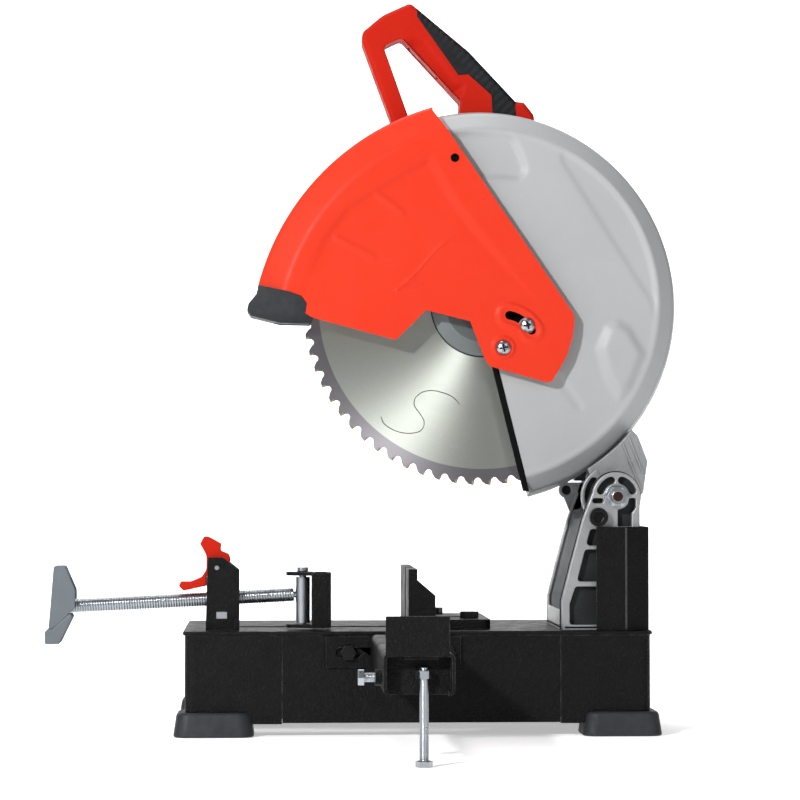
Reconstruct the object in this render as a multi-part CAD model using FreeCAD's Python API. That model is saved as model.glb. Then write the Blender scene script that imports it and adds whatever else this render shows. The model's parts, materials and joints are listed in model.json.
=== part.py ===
"""Metal-cutting chop saw with a 355 mm toothed blade, as an assembly of separate pieces.

Frame: millimetres, +Z up, +X away from the operator, +Y towards the motor side.
The origin is on the floor under the middle of the base, which is also the middle
of the four bench holes. The head is modelled raised, with its blade guard closed.
"""
import FreeCAD
import Part
import math
import os

V = FreeCAD.Vector
ALONG_X = V(1, 0, 0)
ALONG_Y = V(0, 1, 0)
ALONG_Z = V(0, 0, 1)

# ---- driving dimensions, millimetres ----
BASE_LENGTH = 445.0
BASE_DEPTH = 220.0
BASE_TOP = 100.0
BASE_BOTTOM = 12.0
TOP_PLATE = 4.0
SHEET = 2.5
FOOT_HEIGHT = 23.0
BENCH_X = 172.0
BENCH_Y = 97.0
BENCH_HOLE_R = 4.25
FOOT_SCREW_X = 203.0
SEAM_LEFT = -130.0
SEAM_RIGHT = 136.0

BLADE_R = 177.5
BLADE_ROOT_R = 170.0
BLADE_THICK = 2.0
BLADE_TEETH = 66
BLADE_X = 67.3
BLADE_Y = -20.0
BLADE_Z = 416.0
ARBOR_R = 12.7
FLANGE_R = 50.0

PIVOT_X = 191.3
PIVOT_Z = 228.0
PIVOT_BOLT_R = 6.0
CHEEK_FRONT = (-97.0, -86.0)
CHEEK_REAR = (41.0, 52.0)
HUB_Y = (-85.4, 40.4)
BOSS_R = 23.5

GUARD_FRONT_Y = -36.0
GUARD_BACK_Y = 6.0
GUARD_SHEET = 2.0
GUARD_R = 195.0
GUARD_START_DEG = -76.0
GUARD_SWEEP_DEG = 206.0

LIFT_X = 86.4
LIFT_Z = 373.1
LIFT_Y = (-50.0, -48.0)
LIFT_WALL_R = 248.5
LIFT_BEVEL_R = 221.0
LIFT_SLOT_R = 32.3
LIFT_PIN_R = 4.0
LIFT_SLOT_DEG = (32.0, 80.0)
LIFT_PIN_DEG = 43.4

GEAR_MODULE = 1.25
GEAR_TEETH = 60
PINION_TEETH = 10
GEAR_Y = (30.0, 42.0)
MOTOR_DEG = 50.0
MOTOR_BACK_Y = 200.0
MOTOR_R = 47.0

SCREW_R = 6.8
SCREW_Y = -74.0
SCREW_TILT_DEG = 2.87
SCREW_START = V(-345.0, SCREW_Y, 122.3)
JAW_PIN_X = -110.0
LEVER_X = -192.3
LEVER_Z = 159.8

FENCE_PIVOT = (23.0, 40.0)
FENCE_LOCK = (52.5, -50.0)
FENCE_SWING_DEG = 24.0
FENCE_GUSSET = [(0.0, 109.0), (0.0, 147.0), (1.0, 147.0), (17.9, 132.5), (17.9, 109.0)]

ARM_X = (-46.0, 15.0)
ARM_Z = (61.0, 97.0)
ARM_END_Y = -414.0
PANEL_Y = -109.6
LEG_X = -11.0
CLAMP_Y = -385.0
CLAMP_Z = 75.0

HANDLE_Y = (6.2, 42.2)

RUNNING_FIT = 0.06

# bolt places and fixed parts
PEDESTAL_BOLTS = [(156.0, -72.0), (196.0, -72.0), (156.0, 27.0), (196.0, 27.0)]
BRACKET_BOLTS = [-197.0, -177.0]
SUPPORT_BOLTS = [(-67.0, 79.8), (27.5, 79.8)]
CHEEK_LEFT_EDGE = [(138.0, BASE_TOP), (138.0, 128.0), (148.0, 167.0), (158.5, 206.0), (166.0, 231.0)]
CHEEK_RIGHT_X = 213.5
CROSS_X = 173.1
CROSS_Z = 208.3
BRACKET_Y = (-90.0, -58.0)
JAW_Y = (-95.0, -55.0)
RAIL_X = (-28.5, 0.2)
RAIL_Z = (91.9, 93.9)
LEG_Y = -403.6
MOTOR_OFFSET = GEAR_MODULE * (GEAR_TEETH + PINION_TEETH) / 2
MOTOR_X = BLADE_X + MOTOR_OFFSET * math.cos(math.radians(MOTOR_DEG))
MOTOR_Z = BLADE_Z + MOTOR_OFFSET * math.sin(math.radians(MOTOR_DEG))
SPINDLE_R = 10.0
GUARD_HOLES = [(30.0, 390.0), (105.0, 420.0), (62.0, 460.0)]
GUARD_OUTLINE = [(-152.9, 434.0), (-100.0, 402.0), (-19.0, 380.5), (10.7, 409.8), (53.6, 399.1),
                 (68.2, 362.0, 3), (72.3, 355.2), (131.6, 338.4, 3), (134.6, 341.0), (147.0, 362.6, 10),
                 (153.8, 382.5), (156.3, 400.5, 8), (154.5, 407.4), (17.2, 608.0), (20.0, 660.0),
                 (-220.0, 660.0), (-220.0, 434.0)]
HANDLE_SCREWS = [(0.0, 560.0), (92.0, 560.0), (50.0, 515.0)]
HANDLE_OUTLINE = [(-22.0, 605.0), (-50.0, 681.0, 4), (-50.0, 691.0, 6), (-30.0, 708.0, 30), (-2.0, 720.8, 6),
                  (56.5, 672.4, 60), (103.0, 622.5), (112.0, 621.5), (121.5, 609.5), (128.0, 575.0, 10),
                  (120.0, 503.0, 12), (18.0, 503.0, 12), (-12.0, 560.0, 20)]
HANDLE_WINDOW = [(-5.5, 610.7), (-29.0, 677.0, 5), (-11.0, 685.5, 5), (48.0, 622.0, 5), (46.0, 600.0, 8),
                 (0.0, 596.0, 8)]
GRIP_OUTLINE = [(5.5, 722.0), (4.9, 706.5, 4), (46.0, 648.3, 3), (55.8, 649.2, 3), (79.0, 628.6, 3),
                (80.5, 600.0), (106.0, 600.0), (106.0, 632.0), (60.0, 680.0)]
EDGE_TOP = V(-11.0, 0, 685.5)
EDGE_BOTTOM = V(48.0, 0, 622.0)


# ---- helpers ----
def box(x_span, y_span, z_span):
    """Block between the given low and high values on each axis."""
    size = [high - low for low, high in (x_span, y_span, z_span)]
    return Part.makeBox(size[0], size[1], size[2], V(x_span[0], y_span[0], z_span[0]))


def rod(radius, start, end):
    """Round bar from one point to another."""
    run = end - start
    return Part.makeCylinder(radius, run.Length, start, run)


def rod_y(radius, x, z, y_span):
    return rod(radius, V(x, y_span[0], z), V(x, y_span[1], z))


def rod_z(radius, x, y, z_span):
    return rod(radius, V(x, y, z_span[0]), V(x, y, z_span[1]))


def fuse(shapes):
    """One solid from touching solids, with merged faces."""
    return shapes[0].fuse(shapes[1:]).removeSplitter()


def rounded_wire(corners, to_vector):
    """Closed outline; a corner is (u, v) or (u, v, fillet radius)."""
    points = [to_vector(corner[0], corner[1]) for corner in corners]
    edges = []
    last = None
    first = None
    for index, corner in enumerate(corners):
        here = points[index]
        radius = corner[2] if len(corner) > 2 else 0.0
        if radius:
            back = (points[index - 1] - here).normalize()
            ahead = (points[(index + 1) % len(points)] - here).normalize()
            half = back.getAngle(ahead) / 2
            start = here + back * (radius / math.tan(half))
            end = here + ahead * (radius / math.tan(half))
            toward = (back + ahead).normalize()
            middle = here + toward * (radius / math.sin(half) - radius)
        else:
            start = here
            end = here
        if last is not None and (start - last).Length > 1e-6:
            edges.append(Part.LineSegment(last, start).toShape())
        if radius:
            edges.append(Part.Arc(start, middle, end).toShape())
        first = start if first is None else first
        last = end
    if (first - last).Length > 1e-6:
        edges.append(Part.LineSegment(last, first).toShape())
    return Part.Wire(edges)


def slab(corners, y_span):
    """Outline in X and Z, extruded along Y."""
    wire = rounded_wire(corners, lambda x, z: V(x, y_span[0], z))
    return Part.Face(wire).extrude(V(0, y_span[1] - y_span[0], 0))


def plate(corners, z_span):
    """Outline in X and Y, extruded along Z."""
    wire = rounded_wire(corners, lambda x, y: V(x, y, z_span[0]))
    return Part.Face(wire).extrude(V(0, 0, z_span[1] - z_span[0]))


def round_rectangle(x_span, y_span, radius):
    low_x, high_x = x_span
    low_y, high_y = y_span
    return [(low_x, low_y, radius), (high_x, low_y, radius),
            (high_x, high_y, radius), (low_x, high_y, radius)]


def turned(profile, x, z, start_deg=0.0, sweep_deg=360.0):
    """Profile of (radius, y) turned about an axis along Y, anticlockwise from the front."""
    angle = math.radians(start_deg)
    points = [V(x + r * math.cos(angle), y, z + r * math.sin(angle)) for r, y in profile]
    face = Part.Face(Part.makePolygon(points + points[:1]))
    return face.revolve(V(x, 0, z), V(0, -1, 0), sweep_deg)


def polar(x, z, radius, degrees):
    angle = math.radians(degrees)
    return x + radius * math.cos(angle), z + radius * math.sin(angle)


def arc_slot(x, z, radius, half_width, start_deg, end_deg, y_span):
    """Curved slot with round ends, as the solid that cuts it."""
    profile = [(radius - half_width, y_span[0]), (radius + half_width, y_span[0]),
               (radius + half_width, y_span[1]), (radius - half_width, y_span[1])]
    ends = [rod_y(half_width, *polar(x, z, radius, angle), y_span) for angle in (start_deg, end_deg)]
    return fuse([turned(profile, x, z, start_deg, end_deg - start_deg)] + ends)


def place(shape, start, direction):
    """Carry a shape built along +Z from the origin to a start point and direction."""
    moved = shape.copy()
    moved.Placement = FreeCAD.Placement(start, FreeCAD.Rotation(ALONG_Z, direction))
    return moved


def hexagon(across_flats, height):
    """Hexagonal prism from the origin along +Z, with chamfered corners."""
    corner = across_flats / math.sqrt(3)
    points = [V(*polar(0, 0, corner, 60 * step), 0) for step in range(7)]
    prism = Part.Face(Part.makePolygon(points)).extrude(V(0, 0, height))
    cone = Part.makeCone(corner + height, across_flats / 2 * 0.96, height + corner - across_flats / 2 * 0.96)
    return prism.common(cone)


def hex_bolt(under_head, direction, radius, length, across_flats, head):
    """Hex bolt; direction runs from the head along the shank."""
    head_solid = place(hexagon(across_flats, head), under_head, direction * -1)
    return fuse([head_solid, rod(radius, under_head, under_head + direction * length)])


def ring(start, direction, outer, inner, thick):
    """Washer, bush or bearing race."""
    disc = Part.makeCylinder(outer, thick, start, direction)
    return disc.cut(Part.makeCylinder(inner, thick * 3, start - direction * thick, direction))


def hex_nut(start, direction, bore, across_flats, height):
    nut = place(hexagon(across_flats, height), start, direction)
    return nut.cut(Part.makeCylinder(bore, height * 3, start - direction * height, direction))


def pan_screw(x, z, head_y, shoulder_r, shoulder_end, shank_r, shank_end):
    """Cross-recess pan-head screw driven along +Y, with a shoulder under its head."""
    head = turned([(0, head_y - 3.4), (3.4, head_y - 3.2), (5.6, head_y - 2.2), (6.5, head_y - 0.8),
                   (6.5, head_y), (0, head_y)], x, z)
    cross = box((x - 3.6, x + 3.6), (head_y - 4, head_y - 1.8), (z - 0.7, z + 0.7))
    head = head.cut(cross).cut(cross.rotated(V(x, 0, z), ALONG_Y, 90))
    shoulder = rod_y(shoulder_r, x, z, (head_y, shoulder_end))
    shank = rod_y(shank_r, x, z, (shoulder_end, shank_end))
    return fuse([head, shoulder, shank])


def involute_gear(teeth, module, bore, x, z, y_span, phase_deg, slack):
    """Spur gear on an axis along Y; slack thins each tooth at the pitch circle."""
    pitch_r = teeth * module / 2
    base_r = pitch_r * math.cos(math.radians(20))
    root_r = pitch_r - 1.25 * module
    tip_r = pitch_r + module
    half_tooth = math.pi / (2 * teeth) - slack / (2 * pitch_r)
    pitch_roll = math.tan(math.acos(base_r / pitch_r)) - math.acos(base_r / pitch_r)
    low_r = max(root_r, base_r)
    points = []
    for tooth in range(teeth):
        middle = math.radians(phase_deg) + 2 * math.pi * tooth / teeth
        flank = []
        for step in range(5):
            radius = low_r + (tip_r - low_r) * step / 4
            pressure = math.acos(min(1.0, base_r / radius))
            half = half_tooth + pitch_roll - (math.tan(pressure) - pressure)
            flank.append((radius, half))
        root_half = flank[0][1]
        rising = [(root_r, -root_half)] + [(radius, -half) for radius, half in flank]
        falling = [(radius, half) for radius, half in reversed(flank)] + [(root_r, root_half)]
        if low_r == root_r:
            rising = rising[1:]
            falling = falling[:-1]
        for radius, offset in rising + falling:
            points.append(V(x + radius * math.cos(middle + offset), y_span[0],
                            z + radius * math.sin(middle + offset)))
    body = Part.Face(Part.makePolygon(points + points[:1])).extrude(V(0, y_span[1] - y_span[0], 0))
    return body.cut(rod_y(bore, x, z, (y_span[0] - 1, y_span[1] + 1)))


def group(solids):
    return Part.makeCompound(solids)


def save(node, shape):
    shape.exportStep("parts/" + node + ".step")


# ---- base ----
def bench_and_foot_holes(z_span):
    holes = []
    for side_x in (-1, 1):
        for side_y in (-1, 1):
            holes.append(rod_z(BENCH_HOLE_R, side_x * BENCH_X, side_y * BENCH_Y, z_span))
            holes.append(rod_z(3.2, side_x * FOOT_SCREW_X, side_y * BENCH_Y, z_span))
    return holes


def base_top_plate():
    half_x = BASE_LENGTH / 2 + 2
    half_y = BASE_DEPTH / 2 + 1
    top = plate(round_rectangle((-half_x, half_x), (-half_y, half_y), 9), (BASE_TOP - TOP_PLATE, BASE_TOP))
    cuts = [plate(round_rectangle((-190, 48), (BLADE_Y - 11, BLADE_Y + 11), 5), (90, 110))]
    cuts += [rod_z(5.1, x, y, (90, 110)) for x, y in (FENCE_PIVOT, FENCE_LOCK)]
    cuts += [rod_z(5.5, 89, y, (90, 110)) for y in (-44, 40)]
    cuts += [rod_z(5.1, x, y, (90, 110)) for x, y in PEDESTAL_BOLTS]
    cuts += [rod_z(4.1, x, SCREW_Y, (90, 110)) for x in BRACKET_BOLTS]
    return top.cut(cuts)


def base_end(side):
    """Folded end section: front wall, end wall, rear wall and an inward bottom flange."""
    half_x = BASE_LENGTH / 2
    half_y = BASE_DEPTH / 2
    top = BASE_TOP - TOP_PLATE
    seam = SEAM_RIGHT if side > 0 else SEAM_LEFT
    outer = plate(round_rectangle((-half_x, half_x), (-half_y, half_y), 9), (BASE_BOTTOM, top))
    inner = plate(round_rectangle((-half_x + SHEET, half_x - SHEET), (-half_y + SHEET, half_y - SHEET), 6.5),
                  (BASE_BOTTOM + SHEET, top + 1))
    floor_hole = plate(round_rectangle((-half_x + 34, half_x - 34), (-half_y + 26, half_y - 26), 8), (0, 40))
    shell = outer.cut([inner, floor_hole])
    keep = box((min(seam, side * 300), max(seam, side * 300)), (-150, 150), (0, 120))
    return shell.common(keep).cut(bench_and_foot_holes((0, 40)))


def base_panel(side):
    """Long panel between the end sections, joggled at each end to lie behind their walls."""
    half_y = BASE_DEPTH / 2
    low, high = sorted((side * (half_y - 0.4), side * (half_y - 0.4 - SHEET)))
    tab_low, tab_high = sorted((side * (half_y - SHEET), side * (half_y - 2 * SHEET)))
    bottom = BASE_BOTTOM + 1
    top = BASE_TOP - TOP_PLATE
    panel = box((SEAM_LEFT + 0.3, SEAM_RIGHT - 0.3), (low, high), (bottom, top))
    tabs = [box((SEAM_LEFT - 14, SEAM_LEFT + 6), (tab_low, tab_high), (bottom + 4, top)),
            box((SEAM_RIGHT - 6, SEAM_RIGHT + 14), (tab_low, tab_high), (bottom + 4, top))]
    return fuse([panel] + tabs)


def base_front_panel():
    holes = [rod_y(4.1, x, z, (-120, -100)) for x, z in SUPPORT_BOLTS]
    return base_panel(-1).cut(holes)


def rubber_foot(side_x, side_y):
    """Corner foot with sloping sides, moulded round the corner of the base."""
    half_x = BASE_LENGTH / 2
    half_y = BASE_DEPTH / 2
    bottom = round_rectangle((half_x - 66, half_x + 10.5), (half_y - 52, half_y + 10), 14)
    top = round_rectangle((half_x - 62, half_x + 7.5), (half_y - 49, half_y + 7), 12)
    wires = [rounded_wire(bottom, lambda x, y: V(x, y, 0)),
             rounded_wire(top, lambda x, y: V(x, y, FOOT_HEIGHT))]
    foot = Part.makeLoft(wires, True, True)
    pocket = plate(round_rectangle((-half_x - 0.2, half_x + 0.2), (-half_y - 0.2, half_y + 0.2), 9),
                   (BASE_BOTTOM, 40))
    foot = foot.cut([pocket, rod_z(BENCH_HOLE_R, BENCH_X, BENCH_Y, (-1, 40)),
                     rod_z(3.2, FOOT_SCREW_X, BENCH_Y, (-1, 40)),
                     rod_z(6.5, FOOT_SCREW_X, BENCH_Y, (-1, 6))])
    if side_x < 0:
        foot = foot.mirror(V(0, 0, 0), ALONG_X)
    if side_y < 0:
        foot = foot.mirror(V(0, 0, 0), ALONG_Y)
    return foot


def foot_screw(side_x, side_y):
    x = side_x * FOOT_SCREW_X
    y = side_y * BENCH_Y
    screw = hex_bolt(V(x, y, 6), ALONG_Z, 3.0, 16, 10, 4)
    return [screw, hex_nut(V(x, y, BASE_BOTTOM + SHEET), ALONG_Z, 3.0, 10, 5)]


def make_base():
    save("base_top_plate", base_top_plate())
    save("base_left_end", base_end(-1))
    save("base_right_end", base_end(1))
    save("base_front_panel", base_front_panel())
    save("base_rear_panel", base_panel(1))
    corners = [(side_x, side_y) for side_x in (-1, 1) for side_y in (-1, 1)]
    save("rubber_feet", group([rubber_foot(*corner) for corner in corners]))
    save("foot_screws", group([piece for corner in corners for piece in foot_screw(*corner)]))


# ---- pedestal and head pivot ----
def cheek(y_span):
    """Upright side of the clevis, with a round boss at the pivot."""
    corners = CHEEK_LEFT_EDGE + [(PIVOT_X, 240.0), (CHEEK_RIGHT_X, 234.0), (CHEEK_RIGHT_X, BASE_TOP)]
    return slab(corners, y_span).fuse(rod_y(BOSS_R, PIVOT_X, PIVOT_Z, y_span))


def cheek_windows(y_span):
    """Ribbed lightening pockets below the pivot, and curved ones round it."""
    lower = slab([(146.0, 105.0, 3), (206.0, 105.0, 3), (206.0, 141.5, 3), (151.5, 141.5, 3),
                  (146.0, 125.0, 3)], y_span)
    middle = slab([(153.0, 146.5, 3), (206.0, 146.5, 3), (206.0, 177.0, 3), (161.0, 177.0, 3)], y_span)
    upper = slab([(162.0, 181.0, 3), (206.0, 181.0, 3), (206.0, 196.5, 3), (166.0, 196.5, 3)], y_span)
    curved = [arc_slot(PIVOT_X, PIVOT_Z, 16.6, 3.0, low, high, y_span)
              for low, high in ((16, 76), (104, 158))]
    corner = slab([(193.0, 202.0, 2), (207.5, 202.0, 2), (207.5, 222.0, 5), (199.0, 215.0, 2),
                   (193.0, 212.5, 2)], y_span)
    return [lower, middle, upper, corner] + curved


def pedestal():
    """Cast clevis: foot flange, two cheeks, a sloping front wall and a rear wall."""
    inside_y = (CHEEK_FRONT[1] - 2, CHEEK_REAR[0] + 2)
    whole_y = (CHEEK_FRONT[0], CHEEK_REAR[1])
    flange = box((138.0, CHEEK_RIGHT_X), whole_y, (BASE_TOP, 104.5))
    front_wall = slab([(138.0, 100.0), (138.0, 128.0), (149.0, 171.0), (155.0, 169.5), (144.0, 127.0),
                       (144.0, 100.0)], inside_y)
    rear_wall = slab([(207.5, 100.0), (207.5, 186.0), (CHEEK_RIGHT_X, 186.0), (CHEEK_RIGHT_X, 100.0)],
                     inside_y)
    lug = fuse([rod_y(8.0, 157.5, 233.7, (CHEEK_REAR[0], CHEEK_REAR[0] + 7)),
                slab([(157.5, 241.7), (180.0, 241.7), (168.0, 214.0), (160.5, 212.0)],
                     (CHEEK_REAR[0], CHEEK_REAR[0] + 7))])
    body = fuse([flange, cheek(CHEEK_FRONT), cheek(CHEEK_REAR), front_wall, rear_wall, lug])
    cuts = cheek_windows((CHEEK_FRONT[0] - 1, CHEEK_FRONT[0] + 8))
    cuts += cheek_windows((CHEEK_REAR[1] - 8, CHEEK_REAR[1] + 1))
    cuts += [rod_y(PIVOT_BOLT_R, PIVOT_X, PIVOT_Z, (-120, 80)),
             rod_y(4.5, 157.5, 233.7, (30, 60)),
             rod_y(6.0, CROSS_X, CROSS_Z, (-120, -60))]
    cuts += [rod_z(5.1, x, y, (90, 110)) for x, y in PEDESTAL_BOLTS]
    return body.cut(cuts)


def pedestal_cover():
    """Folded sheet standing in front of and beside the casting's right side."""
    corners = [(170.6, -106.0), (199.4, -106.0), (222.0, -99.5, 3), (222.0, 56.0), (220.0, 56.0),
               (220.0, -97.9, 1), (199.1, -104.0), (170.6, -104.0)]
    sheet = plate(corners, (BASE_TOP, 199.0))
    tab = box((172.0, 194.0), (-105.0, -97.6), (BASE_TOP, BASE_TOP + 2))
    return fuse([sheet, tab.cut(box((137, 214), (-97.5, 0), (90, 110)))])


def pivot_hardware():
    """Washer and nut on the front end of the pivot bolt."""
    start = CHEEK_FRONT[0]
    washer = ring(V(PIVOT_X, start, PIVOT_Z), V(0, -1, 0), 11.5, PIVOT_BOLT_R, 2.0)
    nut = hex_nut(V(PIVOT_X, start - 2.0, PIVOT_Z), V(0, -1, 0), PIVOT_BOLT_R, 18, 7.0)
    return group([washer, nut])


def cross_screw():
    """Socket-head screw through the front cheek that anchors the return spring."""
    head = rod_y(9.0, CROSS_X, CROSS_Z, (CHEEK_FRONT[0] - 9, CHEEK_FRONT[0]))
    socket = place(hexagon(10, 6), V(CROSS_X, CHEEK_FRONT[0] - 9, CROSS_Z), ALONG_Y)
    return fuse([head.cut(socket), rod_y(6.0, CROSS_X, CROSS_Z, (CHEEK_FRONT[0], -80.0))])


def top_bolts(places, radius, across_flats, seat_z, head):
    """Hex bolts driven down through the base top, with nuts below it."""
    pieces = []
    for x, y in places:
        below = BASE_TOP - TOP_PLATE
        length = seat_z - below + 14
        pieces.append(hex_bolt(V(x, y, seat_z), V(0, 0, -1), radius, length, across_flats, head))
        pieces.append(hex_nut(V(x, y, below), V(0, 0, -1), radius, across_flats, radius * 1.6))
    return pieces


def make_pedestal():
    save("pedestal", pedestal())
    save("pedestal_cover", pedestal_cover())
    through = top_bolts(PEDESTAL_BOLTS, 5.0, 16, 104.5, 6.4)
    through += top_bolts([FENCE_PIVOT, FENCE_LOCK], 5.0, 16, 109.6, 6.4)
    save("m10_bolts", group(through))
    bolt = hex_bolt(V(PIVOT_X, CHEEK_REAR[1], PIVOT_Z), V(0, -1, 0), PIVOT_BOLT_R,
                    CHEEK_REAR[1] - CHEEK_FRONT[0] + 11.5, 19, 7.5)
    save("pivot_bolt", bolt)
    save("pivot_nut", pivot_hardware())
    save("cross_screw", cross_screw())


# ---- vise ----
def screw_point(x):
    """Point on the tilted vise screw's axis at the given X."""
    rise = math.tan(math.radians(SCREW_TILT_DEG))
    return V(x, SCREW_Y, SCREW_START.z + (x - SCREW_START.x) * rise)


def vise_bracket():
    """Folded bracket: two cheeks on a tapped foot plate."""
    corners = [(-203.0, 100.0), (-201.2, 169.8, 1.5), (-186.4, 169.8, 2), (-170.9, 157.4, 2),
               (-170.9, 100.0)]
    low, high = BRACKET_Y
    cheeks = [slab(corners, (low, low + 3)), slab(corners, (high - 3, high))]
    foot = box((-203.0, -170.9), BRACKET_Y, (100.0, 103.0))
    cuts = [box((-192.8, -182.4), (low - 1, high + 1), (111.0, 118.0)),
            rod_y(2.1, LEVER_X, LEVER_Z, (-100, -50))]
    cuts += [rod_z(4.0, x, SCREW_Y, (90, 110)) for x in BRACKET_BOLTS]
    return fuse(cheeks + [foot]).cut(cuts)


def screw_cradle():
    """Plated saddle under the screw, held by tabs in the bracket's windows."""
    low, high = BRACKET_Y
    saddle = box((-193.0, -182.0), (low + 3.1, high - 3.1), (108.0, 126.0))
    tabs = box((-192.6, -182.6), (low - 0.2, high + 0.2), (111.2, 117.8))
    seat = rod(SCREW_R + RUNNING_FIT, screw_point(-215.0), screw_point(-160.0))
    return fuse([saddle, tabs]).cut(seat)


def release_lever():
    """Quick-release lever: thumb horn above the bracket, tongue to the left."""
    corners = [(-205.0, 189.6, 1.5), (-200.7, 189.6, 1.5), (-188.2, 182.8, 1.2), (-189.2, 176.0, 3),
               (-181.0, 172.9, 2), (-179.2, 167.0, 2), (-180.2, 164.0, 1), (-184.5, 153.0, 3),
               (-192.5, 151.8), (-202.4, 151.8), (-202.4, 142.5), (-224.2, 137.5, 2), (-228.9, 142.0, 2),
               (-227.3, 146.4, 1.5), (-217.4, 146.4, 6), (-207.5, 150.6, 5), (-202.6, 158.0, 5),
               (-202.6, 171.7, 8), (-208.7, 182.8, 1.5)]
    return slab(corners, (-83.0, -65.0)).cut(rod_y(2.0 + RUNNING_FIT, LEVER_X, LEVER_Z, (-100, -50)))


def half_nut():
    """Half nut under the lever; its threaded seat rests on top of the screw."""
    block = box((-202.2, -192.5), (-82.0, -66.0), (131.5, 151.6))
    return block.cut(rod(SCREW_R + RUNNING_FIT, screw_point(-215.0), screw_point(-180.0)))


def vise_screw():
    stub = rod(3.0, screw_point(-119.0), screw_point(-114.2))
    return fuse([rod(SCREW_R, screw_point(-349.5), screw_point(-118.2)), stub])


def vise_handle():
    """Stamped wing handle: two boat-shaped flanges joined by a web."""
    flange = [(-348.1, 161.8, 2), (-337.4, 161.8, 3), (-327.4, 139.0, 4), (-327.4, 125.0, 4),
              (-342.4, 87.0, 2), (-356.4, 87.0, 1), (-356.4, 99.0, 1), (-352.8, 102.5)]
    web = [(-348.1, 161.8), (-345.4, 161.8), (-350.0, 103.5), (-353.6, 100.0), (-353.6, 87.0),
           (-356.4, 87.0), (-356.4, 99.0), (-352.8, 102.5)]
    flanges = [slab(flange, (-88.0, -85.5)), slab(flange, (-62.5, -60.0))]
    bore = rod(SCREW_R, screw_point(-360.0), screw_point(-320.0))
    return fuse(flanges + [slab(web, (-88.0, -60.0))]).cut(bore)


def swivel_sleeve():
    sleeve = rod_z(7.0, JAW_PIN_X, SCREW_Y, (106.5, 150.5))
    cuts = [rod_z(3.5 + RUNNING_FIT, JAW_PIN_X, SCREW_Y, (90, 170)),
            rod(3.0 + RUNNING_FIT, screw_point(-125.0), screw_point(-113.9))]
    return sleeve.cut(cuts)


def jaw_pin():
    head = rod_z(5.5, JAW_PIN_X, SCREW_Y, (155.8, 160.0))
    return fuse([head, rod_z(3.5, JAW_PIN_X, SCREW_Y, (101.9, 156.0))])


def vise_jaw():
    """Channel jaw: contact plate, side walls, back plate and two swivel ears."""
    low, high = JAW_Y
    shell = box((-101.5, -83.0), JAW_Y, (102.0, 155.0))
    hollow = box((-98.5, -86.5), (low + 3, high - 3), (105.0, 160.0))
    ear = [(-126.0, -82.0, 8), (-126.0, -66.0, 8), (-100.0, -58.0), (-100.0, -90.0)]
    ears = [plate(ear, (101.9, 105.4)), plate(ear, (152.0, 155.5))]
    pin_hole = rod_z(3.5 + RUNNING_FIT, JAW_PIN_X, SCREW_Y, (90, 170))
    return fuse([shell.cut(hollow)] + ears).cut(pin_hole)


def bracket_bolts():
    """Hex bolts from below into the bracket's tapped foot plate."""
    below = BASE_TOP - TOP_PLATE
    return [hex_bolt(V(x, SCREW_Y, below), ALONG_Z, 4.0, 7.0, 13, 5.3) for x in BRACKET_BOLTS]


def make_vise():
    save("vise_bracket", vise_bracket())
    save("screw_cradle", screw_cradle())
    save("lever_pin", rod_y(2.0, LEVER_X, LEVER_Z, (-90.5, -57.5)))
    save("release_lever", release_lever())
    save("half_nut", half_nut())
    save("vise_screw", vise_screw())
    save("vise_handle", vise_handle())
    save("swivel_sleeve", swivel_sleeve())
    save("jaw_pin", jaw_pin())
    save("vise_jaw", vise_jaw())


# ---- fence ----
def fence():
    """Fence plate with a kerf gap, its slotted foot and a gusset at the near end."""
    pivot_x, pivot_y = FENCE_PIVOT
    lock_x, lock_y = FENCE_LOCK
    radius = math.hypot(lock_x - pivot_x, lock_y - pivot_y)
    lock_deg = math.degrees(math.atan2(lock_y - pivot_y, lock_x - pivot_x))
    face = box((-8.2, 0.5), (-80.0, 84.0), (BASE_TOP + 0.2, 158.0))
    foot = plate([(-5.0, -80.0), (66.0, -80.0), (71.0, -75.0), (71.0, 58.0, 8), (-5.0, 58.0)],
                 (BASE_TOP + 0.2, 109.5))
    gussets = [slab(FENCE_GUSSET, y_span) for y_span in ((-80.0, -74.0), (52.0, 58.0))]
    kerf = box((-9.0, 48.0), (-24.0, -8.0), (90.0, 170.0))
    profile = [V(pivot_x + (radius + side * 5.2) * math.cos(math.radians(lock_deg)),
                 pivot_y + (radius + side * 5.2) * math.sin(math.radians(lock_deg)), z)
               for side, z in ((-1, 99.0), (1, 99.0), (1, 112.0), (-1, 112.0))]
    slot = Part.Face(Part.makePolygon(profile + profile[:1]))
    slot = slot.revolve(V(pivot_x, pivot_y, 0), V(0, 0, -1), FENCE_SWING_DEG)
    ends = []
    for angle in (lock_deg, lock_deg - FENCE_SWING_DEG):
        end_x, end_y = polar(pivot_x, pivot_y, radius, angle)
        ends.append(rod_z(5.2, end_x, end_y, (99.0, 112.0)))
    pivot_hole = rod_z(5.0 + RUNNING_FIT, pivot_x, pivot_y, (90, 112))
    return fuse([face, foot] + gussets).cut([kerf, slot, pivot_hole] + ends)


# ---- work support with its stop and leg ----
def support_flange():
    """Slotted plate on the base's front, with the rail that the arm slides on."""
    back = PANEL_Y
    face = back - 3.0
    flange = box((-88.3, 40.0), (face, back), (65.7, 95.2))
    rail = [box(RAIL_X, (-412.0, back), RAIL_Z),
            box((RAIL_X[0], RAIL_X[0] + 3), (-392.0, back), (66.0, RAIL_Z[1]))]
    slots = [slab(round_rectangle((x - reach, x + reach), (z - 4.6, z + 4.6), 4.5), (face - 1, back + 1))
             for (x, z), reach in zip(SUPPORT_BOLTS, (12.2, 8.0))]
    return fuse([flange] + rail).cut(slots)


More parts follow.
